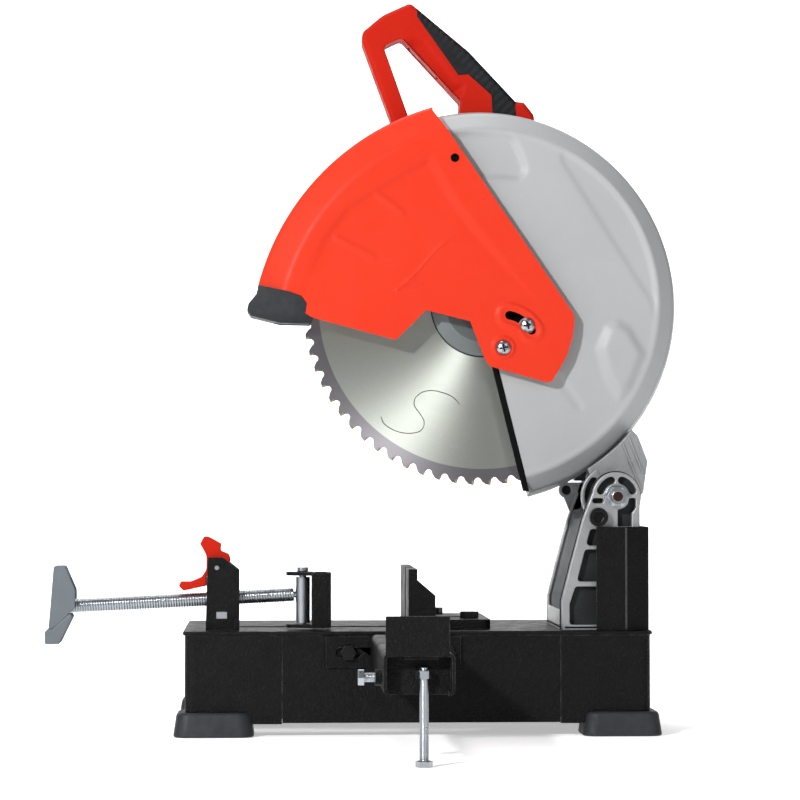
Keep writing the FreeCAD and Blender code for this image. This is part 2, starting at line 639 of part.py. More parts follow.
def support_bolts():
    face = PANEL_Y - 3.0
    pieces = []
    for x, z in SUPPORT_BOLTS:
        pieces.append(hex_bolt(V(x, face, z), ALONG_Y, 4.0, 14.0, 13, 5.3))
        pieces.append(hex_nut(V(x, PANEL_Y + SHEET, z), ALONG_Y, 4.0, 13, 6.5))
    return pieces


def support_arm():
    """Square tube that slides on the rail, with a stop plate, a screw boss and an end plate."""
    span_y = (ARM_END_Y, PANEL_Y - 3.6)
    low_x, high_x = ARM_X
    low_z, high_z = ARM_Z
    tube = slab(round_rectangle(ARM_X, ARM_Z, 5), span_y)
    hollow = slab(round_rectangle((low_x + 3, high_x - 3), (low_z + 3, high_z - 3), 2),
                  (span_y[0] - 1, span_y[1] + 1))
    mouth = box((low_x + 5, high_x - 5), (ARM_END_Y - 1, -397.0), (low_z - 1, low_z + 4))
    end_plate = box((low_x + 2.5, high_x - 2.5), (-397.0, -394.0), (low_z + 2.5, high_z - 2.5))
    rail_slot = box((RAIL_X[0] - 1, RAIL_X[1] + 1), (-399.0, -392.0), (RAIL_Z[0] - 1, high_z - 2.4))
    stop = slab([(-44.0, 96.0), (10.4, 96.0), (10.4, 128.4, 1), (-44.0, 128.4, 1)],
                (ARM_END_Y, ARM_END_Y + 4))
    boss = rod(7.0, V(low_x - 6.0, CLAMP_Y, CLAMP_Z), V(low_x + 1, CLAMP_Y, CLAMP_Z))
    clamp_hole = rod(4.0 + RUNNING_FIT, V(low_x - 8, CLAMP_Y, CLAMP_Z), V(low_x + 6, CLAMP_Y, CLAMP_Z))
    arm = fuse([tube.cut([hollow, mouth]), stop, boss])
    return fuse([arm, end_plate.cut(rail_slot)]).cut(clamp_hole)


def make_support():
    save("support_flange", support_flange())
    save("m8_bolts", group(support_bolts() + bracket_bolts()))
    save("support_arm", support_arm())
    save("leg_nut", hex_nut(V(LEG_X, LEG_Y, 75.5), ALONG_Z, 4.0 + RUNNING_FIT, 13, 6.5))
    save("leg_bolt", hex_bolt(V(LEG_X, LEG_Y, 5.3), ALONG_Z, 4.0, 79.2, 13, 5.3))
    save("clamp_screw", hex_bolt(V(-61.4, CLAMP_Y, CLAMP_Z), ALONG_X, 4.0, 32.6, 13, 5.3))


# ---- head: arm casting, gearbox and motor ----
def arm_casting():
    """Moving arm: pivot hub, wide root over the hub and a plate up to the gearbox."""
    hub = rod_y(20.0, PIVOT_X, PIVOT_Z, HUB_Y)
    root = slab([(172.9, 254.2, 3), (176.0, 300.0), (213.0, 300.0), (220.8, 283.8), (228.9, 262.4, 5),
                 (224.5, 231.0, 5), (203.0, 214.0), (182.0, 226.0)], (-40.0, 38.0))
    web = slab([(33.0, 396.0, 20), (33.0, 450.0, 30), (75.0, 480.0, 30), (128.0, 470.0, 30),
                (150.0, 420.0, 30), (212.0, 296.0), (176.0, 262.0), (120.0, 366.0, 30),
                (60.0, 366.0, 24)], (8.0, 20.0))
    sweep = rod_y(GUARD_R + 3.0, BLADE_X, BLADE_Z, (-60.0, 7.9))
    neck = ring(V(PIVOT_X, -84.0, PIVOT_Z), ALONG_Y, 30.0, 14.0, 43.0)
    body = fuse([hub, root, web]).cut([sweep, neck])
    return body.cut([rod_y(8.0, PIVOT_X, PIVOT_Z, (-100, 60)),
                     rod_y(23.5, BLADE_X, BLADE_Z, (0, 30))]
                    + [rod_y(2.6, x, z, (0, 30)) for x, z in GUARD_HOLES])


def gearbox_shape(spindle_r, motor_r, y_span):
    """Both housings' outline: a circle round each shaft, joined by a straight belt."""
    along = V(MOTOR_X - BLADE_X, 0, MOTOR_Z - BLADE_Z).normalize()
    across = V(-along.z, 0, along.x)
    width = min(spindle_r, motor_r)
    start = V(BLADE_X, y_span[0], BLADE_Z)
    end = V(MOTOR_X, y_span[0], MOTOR_Z)
    points = [start + across * width, end + across * width, end - across * width, start - across * width]
    belt = Part.Face(Part.makePolygon(points + points[:1])).extrude(V(0, y_span[1] - y_span[0], 0))
    return fuse([belt, rod_y(spindle_r, BLADE_X, BLADE_Z, y_span), rod_y(motor_r, MOTOR_X, MOTOR_Z, y_span)])


def gearbox_housing():
    outer = gearbox_shape(48.0, 40.0, (20.0, 62.0))
    inner = gearbox_shape(43.0, 16.0, (19.0, 48.0))
    cuts = [inner, rod_y(20.0, BLADE_X, BLADE_Z, (40, 57)), rod_y(11.0, MOTOR_X, MOTOR_Z, (40, 58)),
            rod_y(5.5, MOTOR_X, MOTOR_Z, (40, 70)),
            rod(3.0 + RUNNING_FIT, V(0.0, 55.0, BLADE_Z + 14), V(60.0, 55.0, BLADE_Z + 14))]
    return outer.cut(cuts)


def motor_housing():
    shell = turned([(MOTOR_R - 4, 62.0), (MOTOR_R, 62.0), (MOTOR_R, MOTOR_BACK_Y - 20),
                    (MOTOR_R - 4, MOTOR_BACK_Y - 20)], MOTOR_X, MOTOR_Z)
    wall = ring(V(MOTOR_X, 62.0, MOTOR_Z), ALONG_Y, MOTOR_R - 3, 12.0, 4.0)
    return fuse([shell, wall])


def motor_end_cap():
    """Domed rear cap with air vents and a seat for the rear bearing."""
    back = MOTOR_BACK_Y
    cap = turned([(0, back - 4), (34, back - 4), (MOTOR_R - 4, back - 12), (MOTOR_R - 4, back - 19.8),
                  (MOTOR_R, back - 19.8), (MOTOR_R, back - 11), (37, back), (0, back)], MOTOR_X, MOTOR_Z)
    seat = ring(V(MOTOR_X, back - 13, MOTOR_Z), ALONG_Y, 13.0, 9.5, 10.0)
    vents = [arc_slot(MOTOR_X, MOTOR_Z, radius, 1.6, start, start + 50, (back - 15, back + 1))
             for radius in (19.0, 26.0) for start in (20, 110, 200, 290)]
    return fuse([cap, seat]).cut(vents)


def bearings():
    """Two spindle bearings and the two armature bearings."""
    return [ring(V(BLADE_X, 8.5, BLADE_Z), ALONG_Y, 23.5, SPINDLE_R + RUNNING_FIT, 11.0),
            ring(V(BLADE_X, 48.5, BLADE_Z), ALONG_Y, 20.0, SPINDLE_R + RUNNING_FIT, 8.0),
            ring(V(MOTOR_X, 49.0, MOTOR_Z), ALONG_Y, 11.0, 4.0 + RUNNING_FIT, 7.0),
            ring(V(MOTOR_X, MOTOR_BACK_Y - 12.5, MOTOR_Z), ALONG_Y, 9.5, 4.0 + RUNNING_FIT, 7.0)]


def return_spring():
    """Torsion spring round the hub's neck, as a plain coil."""
    wire_r = 2.1
    coils = 6
    pitch = 5.6
    mean_r = 17.2
    helix = Part.makeHelix(pitch, pitch * coils, mean_r)
    profile = Part.Wire([Part.makeCircle(wire_r, V(mean_r, 0, 0), ALONG_Y)])
    coil = Part.Wire(helix.Edges).makePipeShell([profile], True, True)
    turn = FreeCAD.Rotation(ALONG_Z, ALONG_Y)
    coil.Placement = FreeCAD.Placement(V(PIVOT_X, -82.0 + wire_r, PIVOT_Z), turn)
    return coil


def make_head():
    save("arm_casting", arm_casting())
    ends = [ring(V(PIVOT_X, HUB_Y[0], PIVOT_Z), ALONG_Y, 8.0, PIVOT_BOLT_R + RUNNING_FIT, 30.0),
            ring(V(PIVOT_X, HUB_Y[1], PIVOT_Z), V(0, -1, 0), 8.0, PIVOT_BOLT_R + RUNNING_FIT, 30.0)]
    save("pivot_bushes", group(ends))
    save("return_spring", return_spring())
    save("stop_buffer", box((162.5, 173.5), (10.0, 26.0), (243.0, 252.0)))
    save("gearbox_housing", gearbox_housing())
    save("motor_housing", motor_housing())
    save("motor_end_cap", motor_end_cap())
    save("stator", ring(V(MOTOR_X, 84.0, MOTOR_Z), ALONG_Y, MOTOR_R - 4, 26.0, 62.0))
    save("bearings", group(bearings()))
    caps = [rod(7.0, V(MOTOR_X, 166.0, MOTOR_Z + side * 40.0), V(MOTOR_X, 166.0, MOTOR_Z + side * 49.0))
            for side in (-1, 1)]
    shell = rod_y(MOTOR_R, MOTOR_X, MOTOR_Z, (60.0, 190.0))
    save("brush_caps", group([cap.cut(shell) for cap in caps]))


# ---- blade and drive ----
def blade():
    """Toothed disc with a hooked face and a sloping back on each tooth."""
    pitch = 360.0 / BLADE_TEETH
    points = []
    for tooth in range(BLADE_TEETH):
        start = -tooth * pitch
        shape = ((BLADE_R, 0.0), (BLADE_R - 1.4, 0.34), (BLADE_ROOT_R + 1.5, 0.56), (BLADE_ROOT_R, 0.74),
                 (BLADE_ROOT_R + 1.2, 0.92))
        for radius, share in shape:
            x, z = polar(BLADE_X, BLADE_Z, radius, start - share * pitch)
            points.append(V(x, BLADE_Y - BLADE_THICK / 2, z))
    disc = Part.Face(Part.makePolygon(points + points[:1])).extrude(V(0, BLADE_THICK, 0))
    return disc.cut(rod_y(ARBOR_R, BLADE_X, BLADE_Z, (-30, -10)))


def blade_flange(side):
    """Clamping flange, relieved in the middle of its blade side."""
    start = BLADE_Y + side * BLADE_THICK / 2
    profile = [(SPINDLE_R if side > 0 else 5.2, start + side * 1.0), (FLANGE_R - 12, start + side * 1.0),
               (FLANGE_R - 12, start), (FLANGE_R, start), (FLANGE_R, start + side * 3.0),
               (FLANGE_R - 14, start + side * 5.5), (SPINDLE_R if side > 0 else 5.2, start + side * 5.5)]
    return turned(profile, BLADE_X, BLADE_Z)


def spindle():
    """Stepped output shaft; its nose carries the bored blade."""
    nose = rod_y(ARBOR_R - RUNNING_FIT, BLADE_X, BLADE_Z, (BLADE_Y - 0.9, BLADE_Y + 1.9))
    shaft = rod_y(SPINDLE_R, BLADE_X, BLADE_Z, (BLADE_Y + 1.0, 56.0))
    return fuse([nose, shaft]).cut(rod_y(5.0, BLADE_X, BLADE_Z, (-30, -2)))


def make_drive():
    save("blade", blade())
    save("blade_flanges", group([blade_flange(-1), blade_flange(1)]))
    seat = BLADE_Y - BLADE_THICK / 2 - 5.5
    save("arbor_bolt", hex_bolt(V(BLADE_X, seat, BLADE_Z), ALONG_Y, 5.0, 22.0, 17, 6.4))
    save("spindle", spindle())
    save("driven_gear", involute_gear(GEAR_TEETH, GEAR_MODULE, SPINDLE_R, BLADE_X, BLADE_Z, GEAR_Y,
                                      MOTOR_DEG, 0.35))
    pinion_phase = MOTOR_DEG + 180 + 180.0 / PINION_TEETH
    pinion = involute_gear(PINION_TEETH, GEAR_MODULE, 3.9, MOTOR_X, MOTOR_Z, (28.0, 44.0),
                           pinion_phase, 0.35)
    steps = [rod_y(4.0, MOTOR_X, MOTOR_Z, (27.0, MOTOR_BACK_Y - 5.6)),
             rod_y(25.0, MOTOR_X, MOTOR_Z, (88.0, 142.0)),
             rod_y(14.0, MOTOR_X, MOTOR_Z, (150.0, 172.0))]
    save("armature", fuse([pinion] + steps))
    blades = [box((MOTOR_X + 11, MOTOR_X + 36), (70.0, 82.0), (MOTOR_Z - 0.8, MOTOR_Z + 0.8))
              .rotated(V(MOTOR_X, 0, MOTOR_Z), ALONG_Y, 40.0 * step) for step in range(9)]
    hub = ring(V(MOTOR_X, 68.0, MOTOR_Z), ALONG_Y, 12.0, 4.0, 14.0)
    disc = ring(V(MOTOR_X, 68.0, MOTOR_Z), ALONG_Y, 37.0, 11.0, 2.5)
    save("cooling_fan", fuse([hub, disc] + blades))


# ---- guards ----
def main_guard():
    """Pressed guard: flat front, bevel, rim and back plate in one open shell."""
    front = GUARD_FRONT_Y
    back = GUARD_BACK_Y
    sheet = GUARD_SHEET
    profile = [(22, front), (172, front), (190, front + 14), (GUARD_R, back), (24, back), (24, back - sheet),
               (GUARD_R - sheet - 0.3, back - sheet), (188, front + 15), (171.2, front + sheet),
               (22, front + sheet)]
    shell = turned(profile, BLADE_X, BLADE_Z, GUARD_START_DEG, GUARD_SWEEP_DEG)
    pin_x, pin_z = polar(LIFT_X, LIFT_Z, LIFT_SLOT_R, LIFT_PIN_DEG)
    posts = [rod_y(8.0, x, z, (LIFT_Y[1] + 0.3, front + 1)) for x, z in ((LIFT_X, LIFT_Z), (pin_x, pin_z))]
    cuts = [rod_y(2.5, x, z, (-60, front + 4)) for x, z in ((LIFT_X, LIFT_Z), (pin_x, pin_z))]
    cuts += [rod_y(2.6, x, z, (0, 10)) for x, z in GUARD_HOLES + HANDLE_SCREWS]
    return fuse([shell] + posts).cut(cuts)


def front_guard():
    """Lifting guard: flat face, wide bevel and outer wall, cut to its outline."""
    low, high = LIFT_Y
    sheet = high - low
    wall_end = 2.0
    profile = [(0, low), (LIFT_BEVEL_R, low), (LIFT_WALL_R - 1, low + 14), (LIFT_WALL_R, wall_end),
               (LIFT_WALL_R - sheet, wall_end), (LIFT_WALL_R - sheet - 1, low + 15.5),
               (LIFT_BEVEL_R - 0.8, high), (0, high)]
    shell = turned(profile, LIFT_X, LIFT_Z, 0.0, 360.0)
    guard = shell.common(slab(GUARD_OUTLINE, (low - 5, wall_end + 5)))
    slot = arc_slot(LIFT_X, LIFT_Z, LIFT_SLOT_R, LIFT_PIN_R + 0.25, LIFT_SLOT_DEG[0], LIFT_SLOT_DEG[1],
                    (low - 1, high + 1))
    pivot = rod_y(LIFT_PIN_R + RUNNING_FIT, LIFT_X, LIFT_Z, (low - 1, high + 1))
    sight = rod_y(3.8, 38.8, 559.1, (low - 1, high + 1))
    return guard.cut([slot, pivot, sight])


def guard_nose(guard):
    """Rubber nose over the guard's lower end, split for the blade."""
    corners = [(-152.8, 434.0), (-123.8, 427.7), (-111.5, 423.4, 5), (-98.8, 409.2, 3), (-99.5, 402.3, 3),
               (-102.0, 396.2, 2), (-131.9, 396.9), (-160.5, 403.9, 3), (-164.2, 409.2, 2),
               (-162.8, 415.7, 3), (-155.3, 424.8)]
    block = slab(corners, (LIFT_Y[0] - 1.8, 2.0))
    gap = box((-137.0, -90.0), (BLADE_Y - 7, BLADE_Y + 7), (380.0, 450.0))
    hollow = slab([(-150.0, 445.0), (-148.0, 412.0, 6), (-90.0, 404.0), (-90.0, 445.0)], (-44.0, -4.0))
    solids = block.cut([gap, hollow, guard]).Solids
    return max(solids, key=lambda solid: solid.Volume)


def make_guards():
    save("main_guard", main_guard())
    guard = front_guard()
    save("front_guard", guard)
    save("guard_nose", guard_nose(guard))
    pin_x, pin_z = polar(LIFT_X, LIFT_Z, LIFT_SLOT_R, LIFT_PIN_DEG)
    screws = [pan_screw(x, z, LIFT_Y[0] - 0.3, LIFT_PIN_R, LIFT_Y[1] + 0.3, 2.5, GUARD_FRONT_Y + 2)
              for x, z in ((LIFT_X, LIFT_Z), (pin_x, pin_z))]
    save("guard_screws", group(screws))


# ---- handle ----
def trigger_block(low_share, high_share, out, into, y_span):
    """Block along the window's sloping edge, from inside the window into the bar."""
    along = EDGE_BOTTOM - EDGE_TOP
    inward = V(-along.z, 0, along.x).normalize()
    corners = []
    for share, depth in ((low_share, -out), (high_share, -out), (high_share, into), (low_share, into)):
        point = EDGE_TOP + along * share + inward * depth
        corners.append((point.x, point.z))
    return slab(corners, y_span)


def handle_body():
    outer = slab(HANDLE_OUTLINE, HANDLE_Y)
    window = slab(HANDLE_WINDOW, (HANDLE_Y[0] - 1, HANDLE_Y[1] + 1))
    sleeve = slab(GRIP_OUTLINE, (HANDLE_Y[0] - 1, HANDLE_Y[1] + 1))
    core = slab([(10.0, 706.0), (50.0, 652.0), (82.0, 632.0), (82.0, 610.0), (98.0, 610.0),
                 (98.0, 622.0), (54.0, 669.0)], (HANDLE_Y[0] + 6, HANDLE_Y[1] - 6))
    return outer.cut(window), sleeve, core


def handle_pieces():
    """Two shells split on the bar's middle plane, and the soft grip moulded round the bar."""
    middle = sum(HANDLE_Y) / 2
    body, sleeve, core = handle_body()
    grip = body.common(sleeve).cut(core)
    shells = body.cut(grip)
    pockets = [trigger_block(0.12, 0.62, 5, 15, (middle - 7.5, middle + 7.5)),
               box((57.0, 88.0), (middle - 11, middle + 11), (560.0, 598.0)),
               rod_y(5.0 + RUNNING_FIT, 20.0, 520.0, (middle, 60.0)),
               rod_y(4.0, 108.0, 530.0, (middle, 60.0))]
    pockets += [rod_y(2.6, x, z, (0, HANDLE_Y[1] - 4)) for x, z in HANDLE_SCREWS]
    pockets += [rod_y(5.0, x, z, (HANDLE_Y[1] - 4, 50)) for x, z in HANDLE_SCREWS]
    shells = shells.cut(pockets)
    halves = [shells.common(box((-100, 200), span, (400, 800)))
              for span in ((0.0, middle - 0.05), (middle + 0.05, 60.0))]
    grip = grip.cut(pockets[0])
    return halves[0], halves[1], grip


def make_handle():
    middle = sum(HANDLE_Y) / 2
    front, back, grip = handle_pieces()
    save("handle_front_half", front)
    save("handle_rear_half", back)
    save("grip_sleeve", grip)
    save("trigger", trigger_block(0.14, 0.60, -0.8, 9.0, (middle - 7, middle + 7)))
    save("switch_block", box((58.0, 87.0), (middle - 10.5, middle + 10.5), (561.0, 597.0)))
    stem = rod_y(5.0, 20.0, 520.0, (30.0, HANDLE_Y[1] + 5))
    cap = rod_y(7.0, 20.0, 520.0, (HANDLE_Y[1] + 4, HANDLE_Y[1] + 7))
    save("lock_button", fuse([stem, cap]))
    gland = fuse([rod_y(4.0, 108.0, 530.0, (32.0, 44.0)), rod_y(8.0, 108.0, 530.0, (HANDLE_Y[1], 52.0))])
    save("cable_gland", gland.cut(rod_y(3.0, 108.0, 530.0, (20, 60))))
    pin = [rod(3.0, V(14.0, 55.0, BLADE_Z + 14), V(34.0, 55.0, BLADE_Z + 14)),
           rod(6.5, V(10.0, 55.0, BLADE_Z + 14), V(15.0, 55.0, BLADE_Z + 14))]
    save("spindle_lock", fuse(pin))
    screws = []
    for x, z in HANDLE_SCREWS:
        screws.append(fuse([rod_y(4.5, x, z, (HANDLE_Y[1] - 4, HANDLE_Y[1] - 1)),
                            rod_y(2.6, x, z, (GUARD_BACK_Y - GUARD_SHEET, HANDLE_Y[1] - 4))]))
    for x, z in GUARD_HOLES:
        screws.append(fuse([rod_y(4.5, x, z, (GUARD_BACK_Y - GUARD_SHEET - 3, GUARD_BACK_Y - GUARD_SHEET)),
                            rod_y(2.6, x, z, (GUARD_BACK_Y - GUARD_SHEET, 19.0))]))
    save("housing_screws", group(screws))


def main():
    os.makedirs("parts", exist_ok=True)
    make_base()
    make_pedestal()
    make_vise()
    save("fence", fence())
    make_support()
    make_head()
    make_drive()
    make_guards()
    make_handle()


main()
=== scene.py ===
import json
import math

import bmesh
import bpy
import numpy as np
from mathutils import Matrix, Vector
from mathutils.geometry import delaunay_2d_cdt


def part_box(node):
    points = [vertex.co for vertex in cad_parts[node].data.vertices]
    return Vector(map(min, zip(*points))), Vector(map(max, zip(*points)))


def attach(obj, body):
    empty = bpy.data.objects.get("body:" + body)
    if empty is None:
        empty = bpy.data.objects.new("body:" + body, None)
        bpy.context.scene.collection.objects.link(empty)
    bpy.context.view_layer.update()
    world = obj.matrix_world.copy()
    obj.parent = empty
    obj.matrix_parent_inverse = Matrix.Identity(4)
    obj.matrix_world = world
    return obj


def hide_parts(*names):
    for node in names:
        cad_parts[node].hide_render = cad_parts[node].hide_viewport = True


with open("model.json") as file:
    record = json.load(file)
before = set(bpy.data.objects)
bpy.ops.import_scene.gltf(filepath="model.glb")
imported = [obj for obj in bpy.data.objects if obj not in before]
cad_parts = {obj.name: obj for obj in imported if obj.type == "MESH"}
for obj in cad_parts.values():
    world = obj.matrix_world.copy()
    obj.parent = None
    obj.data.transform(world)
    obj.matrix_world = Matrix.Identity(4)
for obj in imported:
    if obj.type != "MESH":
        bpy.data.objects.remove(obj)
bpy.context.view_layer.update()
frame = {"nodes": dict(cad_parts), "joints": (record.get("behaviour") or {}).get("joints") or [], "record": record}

MM = 0.001


# ---- places read from the frame ----
def mm_box(node):
    low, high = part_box(node)
    return low / MM, high / MM


def joint_place(name):
    for joint in frame["joints"]:
        if joint["name"] == name:
            return Vector(joint["pos_m"]) / MM
    raise ValueError(name)


BLADE = joint_place("blade_spin")
LIFT = joint_place("guard_lift")
PIVOT = joint_place("head_tilt")
BLADE_LOW, BLADE_HIGH = mm_box("blade")
LIFT_LOW = mm_box("front_guard")[0]
GUARD_HIGH = mm_box("main_guard")[1]
HANDLE_LOW = mm_box("handle_front_half")[0]
TOP_LOW, TOP_HIGH = mm_box("base_top_plate")
PEDESTAL_LOW, PEDESTAL_HIGH = mm_box("pedestal")
HUB = Vector((BLADE.x, BLADE.z))
LIFT_HUB = Vector((LIFT.x, LIFT.z))
PIVOT_HUB = Vector((PIVOT.x, PIVOT.z))
BLADE_MIDDLE_Y = (BLADE_LOW.y + BLADE_HIGH.y) / 2


# ---- outlines ----
def polar(centre, radius, degrees):
    angle = math.radians(degrees)
    return Vector((centre[0] + radius * math.cos(angle), centre[1] + radius * math.sin(angle)))


def arc(centre, radius, start_deg, end_deg, count):
    return [polar(centre, radius, start_deg + (end_deg - start_deg) * step / count)
            for step in range(count + 1)]


def circle(centre, radius, count=32):
    return arc(centre, radius, 0, 360, count)[:-1]


TURN_STEP_DEG = 12


def rounded(corners):
    """Closed outline from corners (u, v) or (u, v, fillet radius)."""
    points = []
    for index, corner in enumerate(corners):
        here = Vector(corner[:2])
        radius = corner[2] if len(corner) > 2 else 0
        if not radius:
            points.append(here)
            continue
        back = (Vector(corners[index - 1][:2]) - here).normalized()
        ahead = (Vector(corners[(index + 1) % len(corners)][:2]) - here).normalized()
        half = back.angle(ahead) / 2
        centre = here + (back + ahead).normalized() * radius / math.sin(half)
        spoke = here + back * radius / math.tan(half) - centre
        last = here + ahead * radius / math.tan(half) - centre
        turn = math.copysign(math.pi - 2 * half, spoke.cross(last))
        steps = max(2, round(abs(math.degrees(turn)) / TURN_STEP_DEG))
        points += [centre + Matrix.Rotation(turn * step / steps, 2) @ spoke
                   for step in range(steps + 1)]
    return points


def rectangle(low_u, high_u, low_v, high_v, radius=0):
    return rounded([(low_u, low_v, radius), (high_u, low_v, radius),
                    (high_u, high_v, radius), (low_u, high_v, radius)])


def arc_slot(centre, radius, half_width, start_deg, end_deg):
    """Closed outline of a curved slot with round ends."""
    outer = arc(centre, radius + half_width, start_deg, end_deg, 12)
    inner = arc(centre, radius - half_width, end_deg, start_deg, 12)
    far = arc(polar(centre, radius, end_deg), half_width, end_deg, end_deg + 180, 8)
    near = arc(polar(centre, radius, start_deg), half_width, start_deg + 180, start_deg + 360, 8)
    return outer + far[1:-1] + inner + near[1:-1]


def spaced(path, step):
    """The same path with points no further apart than the step."""
    points = [Vector(path[0])]
    for end in path[1:]:
        start = points[-1].copy()
        run = Vector(end) - start
        count = max(1, math.ceil(run.length / step))
        points += [start + run * (index + 1) / count for index in range(count)]
    return points


# ---- plane geometry on arrays ----
def as_array(points):
    return np.array([(point[0], point[1]) for point in points], float)


def is_inside(points, loop):
    """Which points lie inside a closed loop."""
    inside = np.zeros(len(points), bool)
    corners = as_array(loop)
    for (ax, ay), (bx, by) in zip(corners, np.roll(corners, -1, axis=0)):
        if ay == by:
            continue
        crosses = (ay > points[:, 1]) != (by > points[:, 1])
        inside ^= crosses & (points[:, 0] < (bx - ax) * (points[:, 1] - ay) / (by - ay) + ax)
    return inside


def path_distance(points, path, closed=False):
    """Distance of each point from a path, negative on the right of its direction."""
    corners = as_array(list(path) + ([path[0]] if closed else []))
    best = np.full(len(points), 1e9)
    side = np.ones(len(points))
    for start, end in zip(corners[:-1], corners[1:]):
        run = end - start
        reach = points - start
        share = np.clip(reach @ run / max(run @ run, 1e-12), 0, 1)
        away = np.hypot(*(reach - share[:, None] * run).T)
        nearer = away < best
        best = np.where(nearer, away, best)
        turn = np.sign(run[0] * reach[:, 1] - run[1] * reach[:, 0])
        side = np.where(nearer, turn, side)
    return best * np.where(side < 0, -1, 1)


def loop_distance(points, loops):
    return np.min([np.abs(path_distance(points, loop, closed=True)) for loop in loops], axis=0)


def smooth(value):
    value = np.clip(value, 0, 1)
    return value * value * (3 - 2 * value)


def ridge(distance, width):
    """Rounded ridge profile, 1 on its line and 0 a width away."""
    return smooth(1 - np.abs(distance) / width)


def inset(loop, distance):
    """Closed loop moved towards the side on its left."""
    moved = []
    for index, here in enumerate(loop):
        before = (here - loop[index - 1]).normalized()
        after = (loop[(index + 1) % len(loop)] - here).normalized()
        normals = Vector((-before.y, before.x)) + Vector((-after.y, after.x))
        moved.append(here + normals * distance / max(0.4, 1 + before.dot(after)))
    return moved


def area(loop):
    corners = as_array(loop)
    following = np.roll(corners, -1, axis=0)
    return np.sum(corners[:, 0] * following[:, 1] - following[:, 0] * corners[:, 1]) / 2


def wound(loop, is_outer):
    """The loop with its outline anticlockwise and its holes clockwise."""
    return loop if (area(loop) > 0) == is_outer else loop[::-1]


def between_loops(points, loops):
    """Which points lie inside the first loop and outside the others."""
    keep = is_inside(points, loops[0])
    for hole in loops[1:]:
        keep &= ~is_inside(points, hole)
    return keep


ROW_SHARE = 0.866


def triangulate(loops, rings, grid, extra):
    """Points and triangles that fill the first loop and leave the others open."""
    loops = [wound(list(map(Vector, loop)), index == 0) for index, loop in enumerate(loops)]
    points = []
    edges = []
    for distance in (0, *rings):
        for loop in loops:
            shifted = inset(loop, distance) if distance else loop
            first = len(points)
            points += [Vector(point) for point in shifted]
            edges += [(first + index, first + (index + 1) % len(loop))
                      for index in range(len(loop))]
    loose = list(extra)
    if grid:
        corners = as_array(loops[0])
        low, high = corners.min(0), corners.max(0)
        rows = int((high[1] - low[1]) / (grid * ROW_SHARE))
        for row in range(1, rows + 1):
            offset = grid / 2 * (row % 2)
            columns = int((high[0] - low[0]) / grid)
            loose += [(low[0] + offset + column * grid, low[1] + row * grid * ROW_SHARE)
                      for column in range(columns + 1)]
    if loose:
        candidates = as_array(loose)
        margin = max(rings, default=0) + 0.3 * (grid or 1)
        keep = between_loops(candidates, loops) & (loop_distance(candidates, loops) > margin)
        points += [Vector(point) for point in candidates[keep]]
    found = delaunay_2d_cdt(points, edges, [], 0, 1e-4)
    flat = as_array(found[0])
    faces = np.array(found[2], int)
    return flat, faces[between_loops(flat[faces].mean(axis=1), loops)], loops


# ---- meshes ----
SHARP_DEG = 32


def shaded(mesh, sharp_deg=SHARP_DEG):
    """Smooth shading up to an angle."""
    mesh.shade_smooth()
    mesh.set_sharp_from_angle(angle=math.radians(sharp_deg))


def placed(name, data):
    """Object in the scene."""
    made = bpy.data.objects.new(name, data)
    bpy.context.scene.collection.objects.link(made)
    return made


def new_object(name, vertices, faces, sharp_deg=SHARP_DEG, closed=True, capped=False):
    """Object from points in millimetres; a sheet isn't closed, and a capped one gets its ends."""
    mesh = bpy.data.meshes.new(name)
    points = [Vector(point) * MM for point in vertices]
    mesh.from_pydata(points, [], [list(map(int, face)) for face in faces])
    shaped = bmesh.new()
    shaped.from_mesh(mesh)
    bmesh.ops.remove_doubles(shaped, verts=shaped.verts, dist=1e-6)
    loose = [vertex for vertex in shaped.verts if not vertex.link_faces]
    bmesh.ops.delete(shaped, geom=loose, context="VERTS")
    if capped:
        bmesh.ops.dissolve_degenerate(shaped, dist=1e-6, edges=shaped.edges)
        rims = [edge for edge in shaped.edges if edge.is_boundary]
        bmesh.ops.holes_fill(shaped, edges=rims, sides=0)
    if closed:
        bmesh.ops.recalc_face_normals(shaped, faces=shaped.faces)
    shaped.to_mesh(mesh)
    shaped.free()
    shaded(mesh, sharp_deg)
    return placed(name, mesh)


def even_shading(made):
    made.modifiers.new("even_shading", "WEIGHTED_NORMAL").keep_sharp = True
    return made


AXES = {"XZ": lambda u, v, w: (u, w, v),
        "XY": lambda u, v, w: (u, v, w),
        "YZ": lambda u, v, w: (w, u, v)}


def solid(name, loops, low, high, bevel=0, far_bevel=None, relief=None, far_relief=None,
          grid=0, extra=(), steps=3, plane="XZ"):
    """Solid between two levels with rounded edges; the first loop is outer, the others are holes.

    A relief gives how far each point of the low face sinks into the solid.
    """
    far_bevel = bevel if far_bevel is None else far_bevel
    turns = [math.pi / 2 * (step + 1) / steps for step in range(steps)]
    rings = sorted({round(size * (1 - math.cos(turn)), 4)
                    for size in (bevel, far_bevel) if size for turn in turns})
    flat, faces, loops = triangulate(loops, rings, grid, extra)
    away = loop_distance(flat, loops)
    levels = []
    for size, sink in ((bevel, relief), (far_bevel, far_relief)):
        depth = np.zeros(len(flat))
        if size:
            gap = np.clip(size - away, 0, size)
            depth += size - np.sqrt(np.maximum(size * size - gap * gap, 0))
        if sink:
            depth += sink(flat)
        levels.append(depth)
    to_world = AXES[plane]
    near = [to_world(u, v, low + depth) for (u, v), depth in zip(flat, levels[0])]
    far = [to_world(u, v, high - depth) for (u, v), depth in zip(flat, levels[1])]
    count = len(flat)
    sides = {(start, end): None for face in faces for start, end in zip(face, np.roll(face, -1))}
    walls = [(end, start, start + count, end + count)
             for start, end in sides if (end, start) not in sides]
    far_faces = [tuple(face[::-1] + count) for face in faces]
    return even_shading(new_object(name, near + far, [*faces, *far_faces, *walls]))


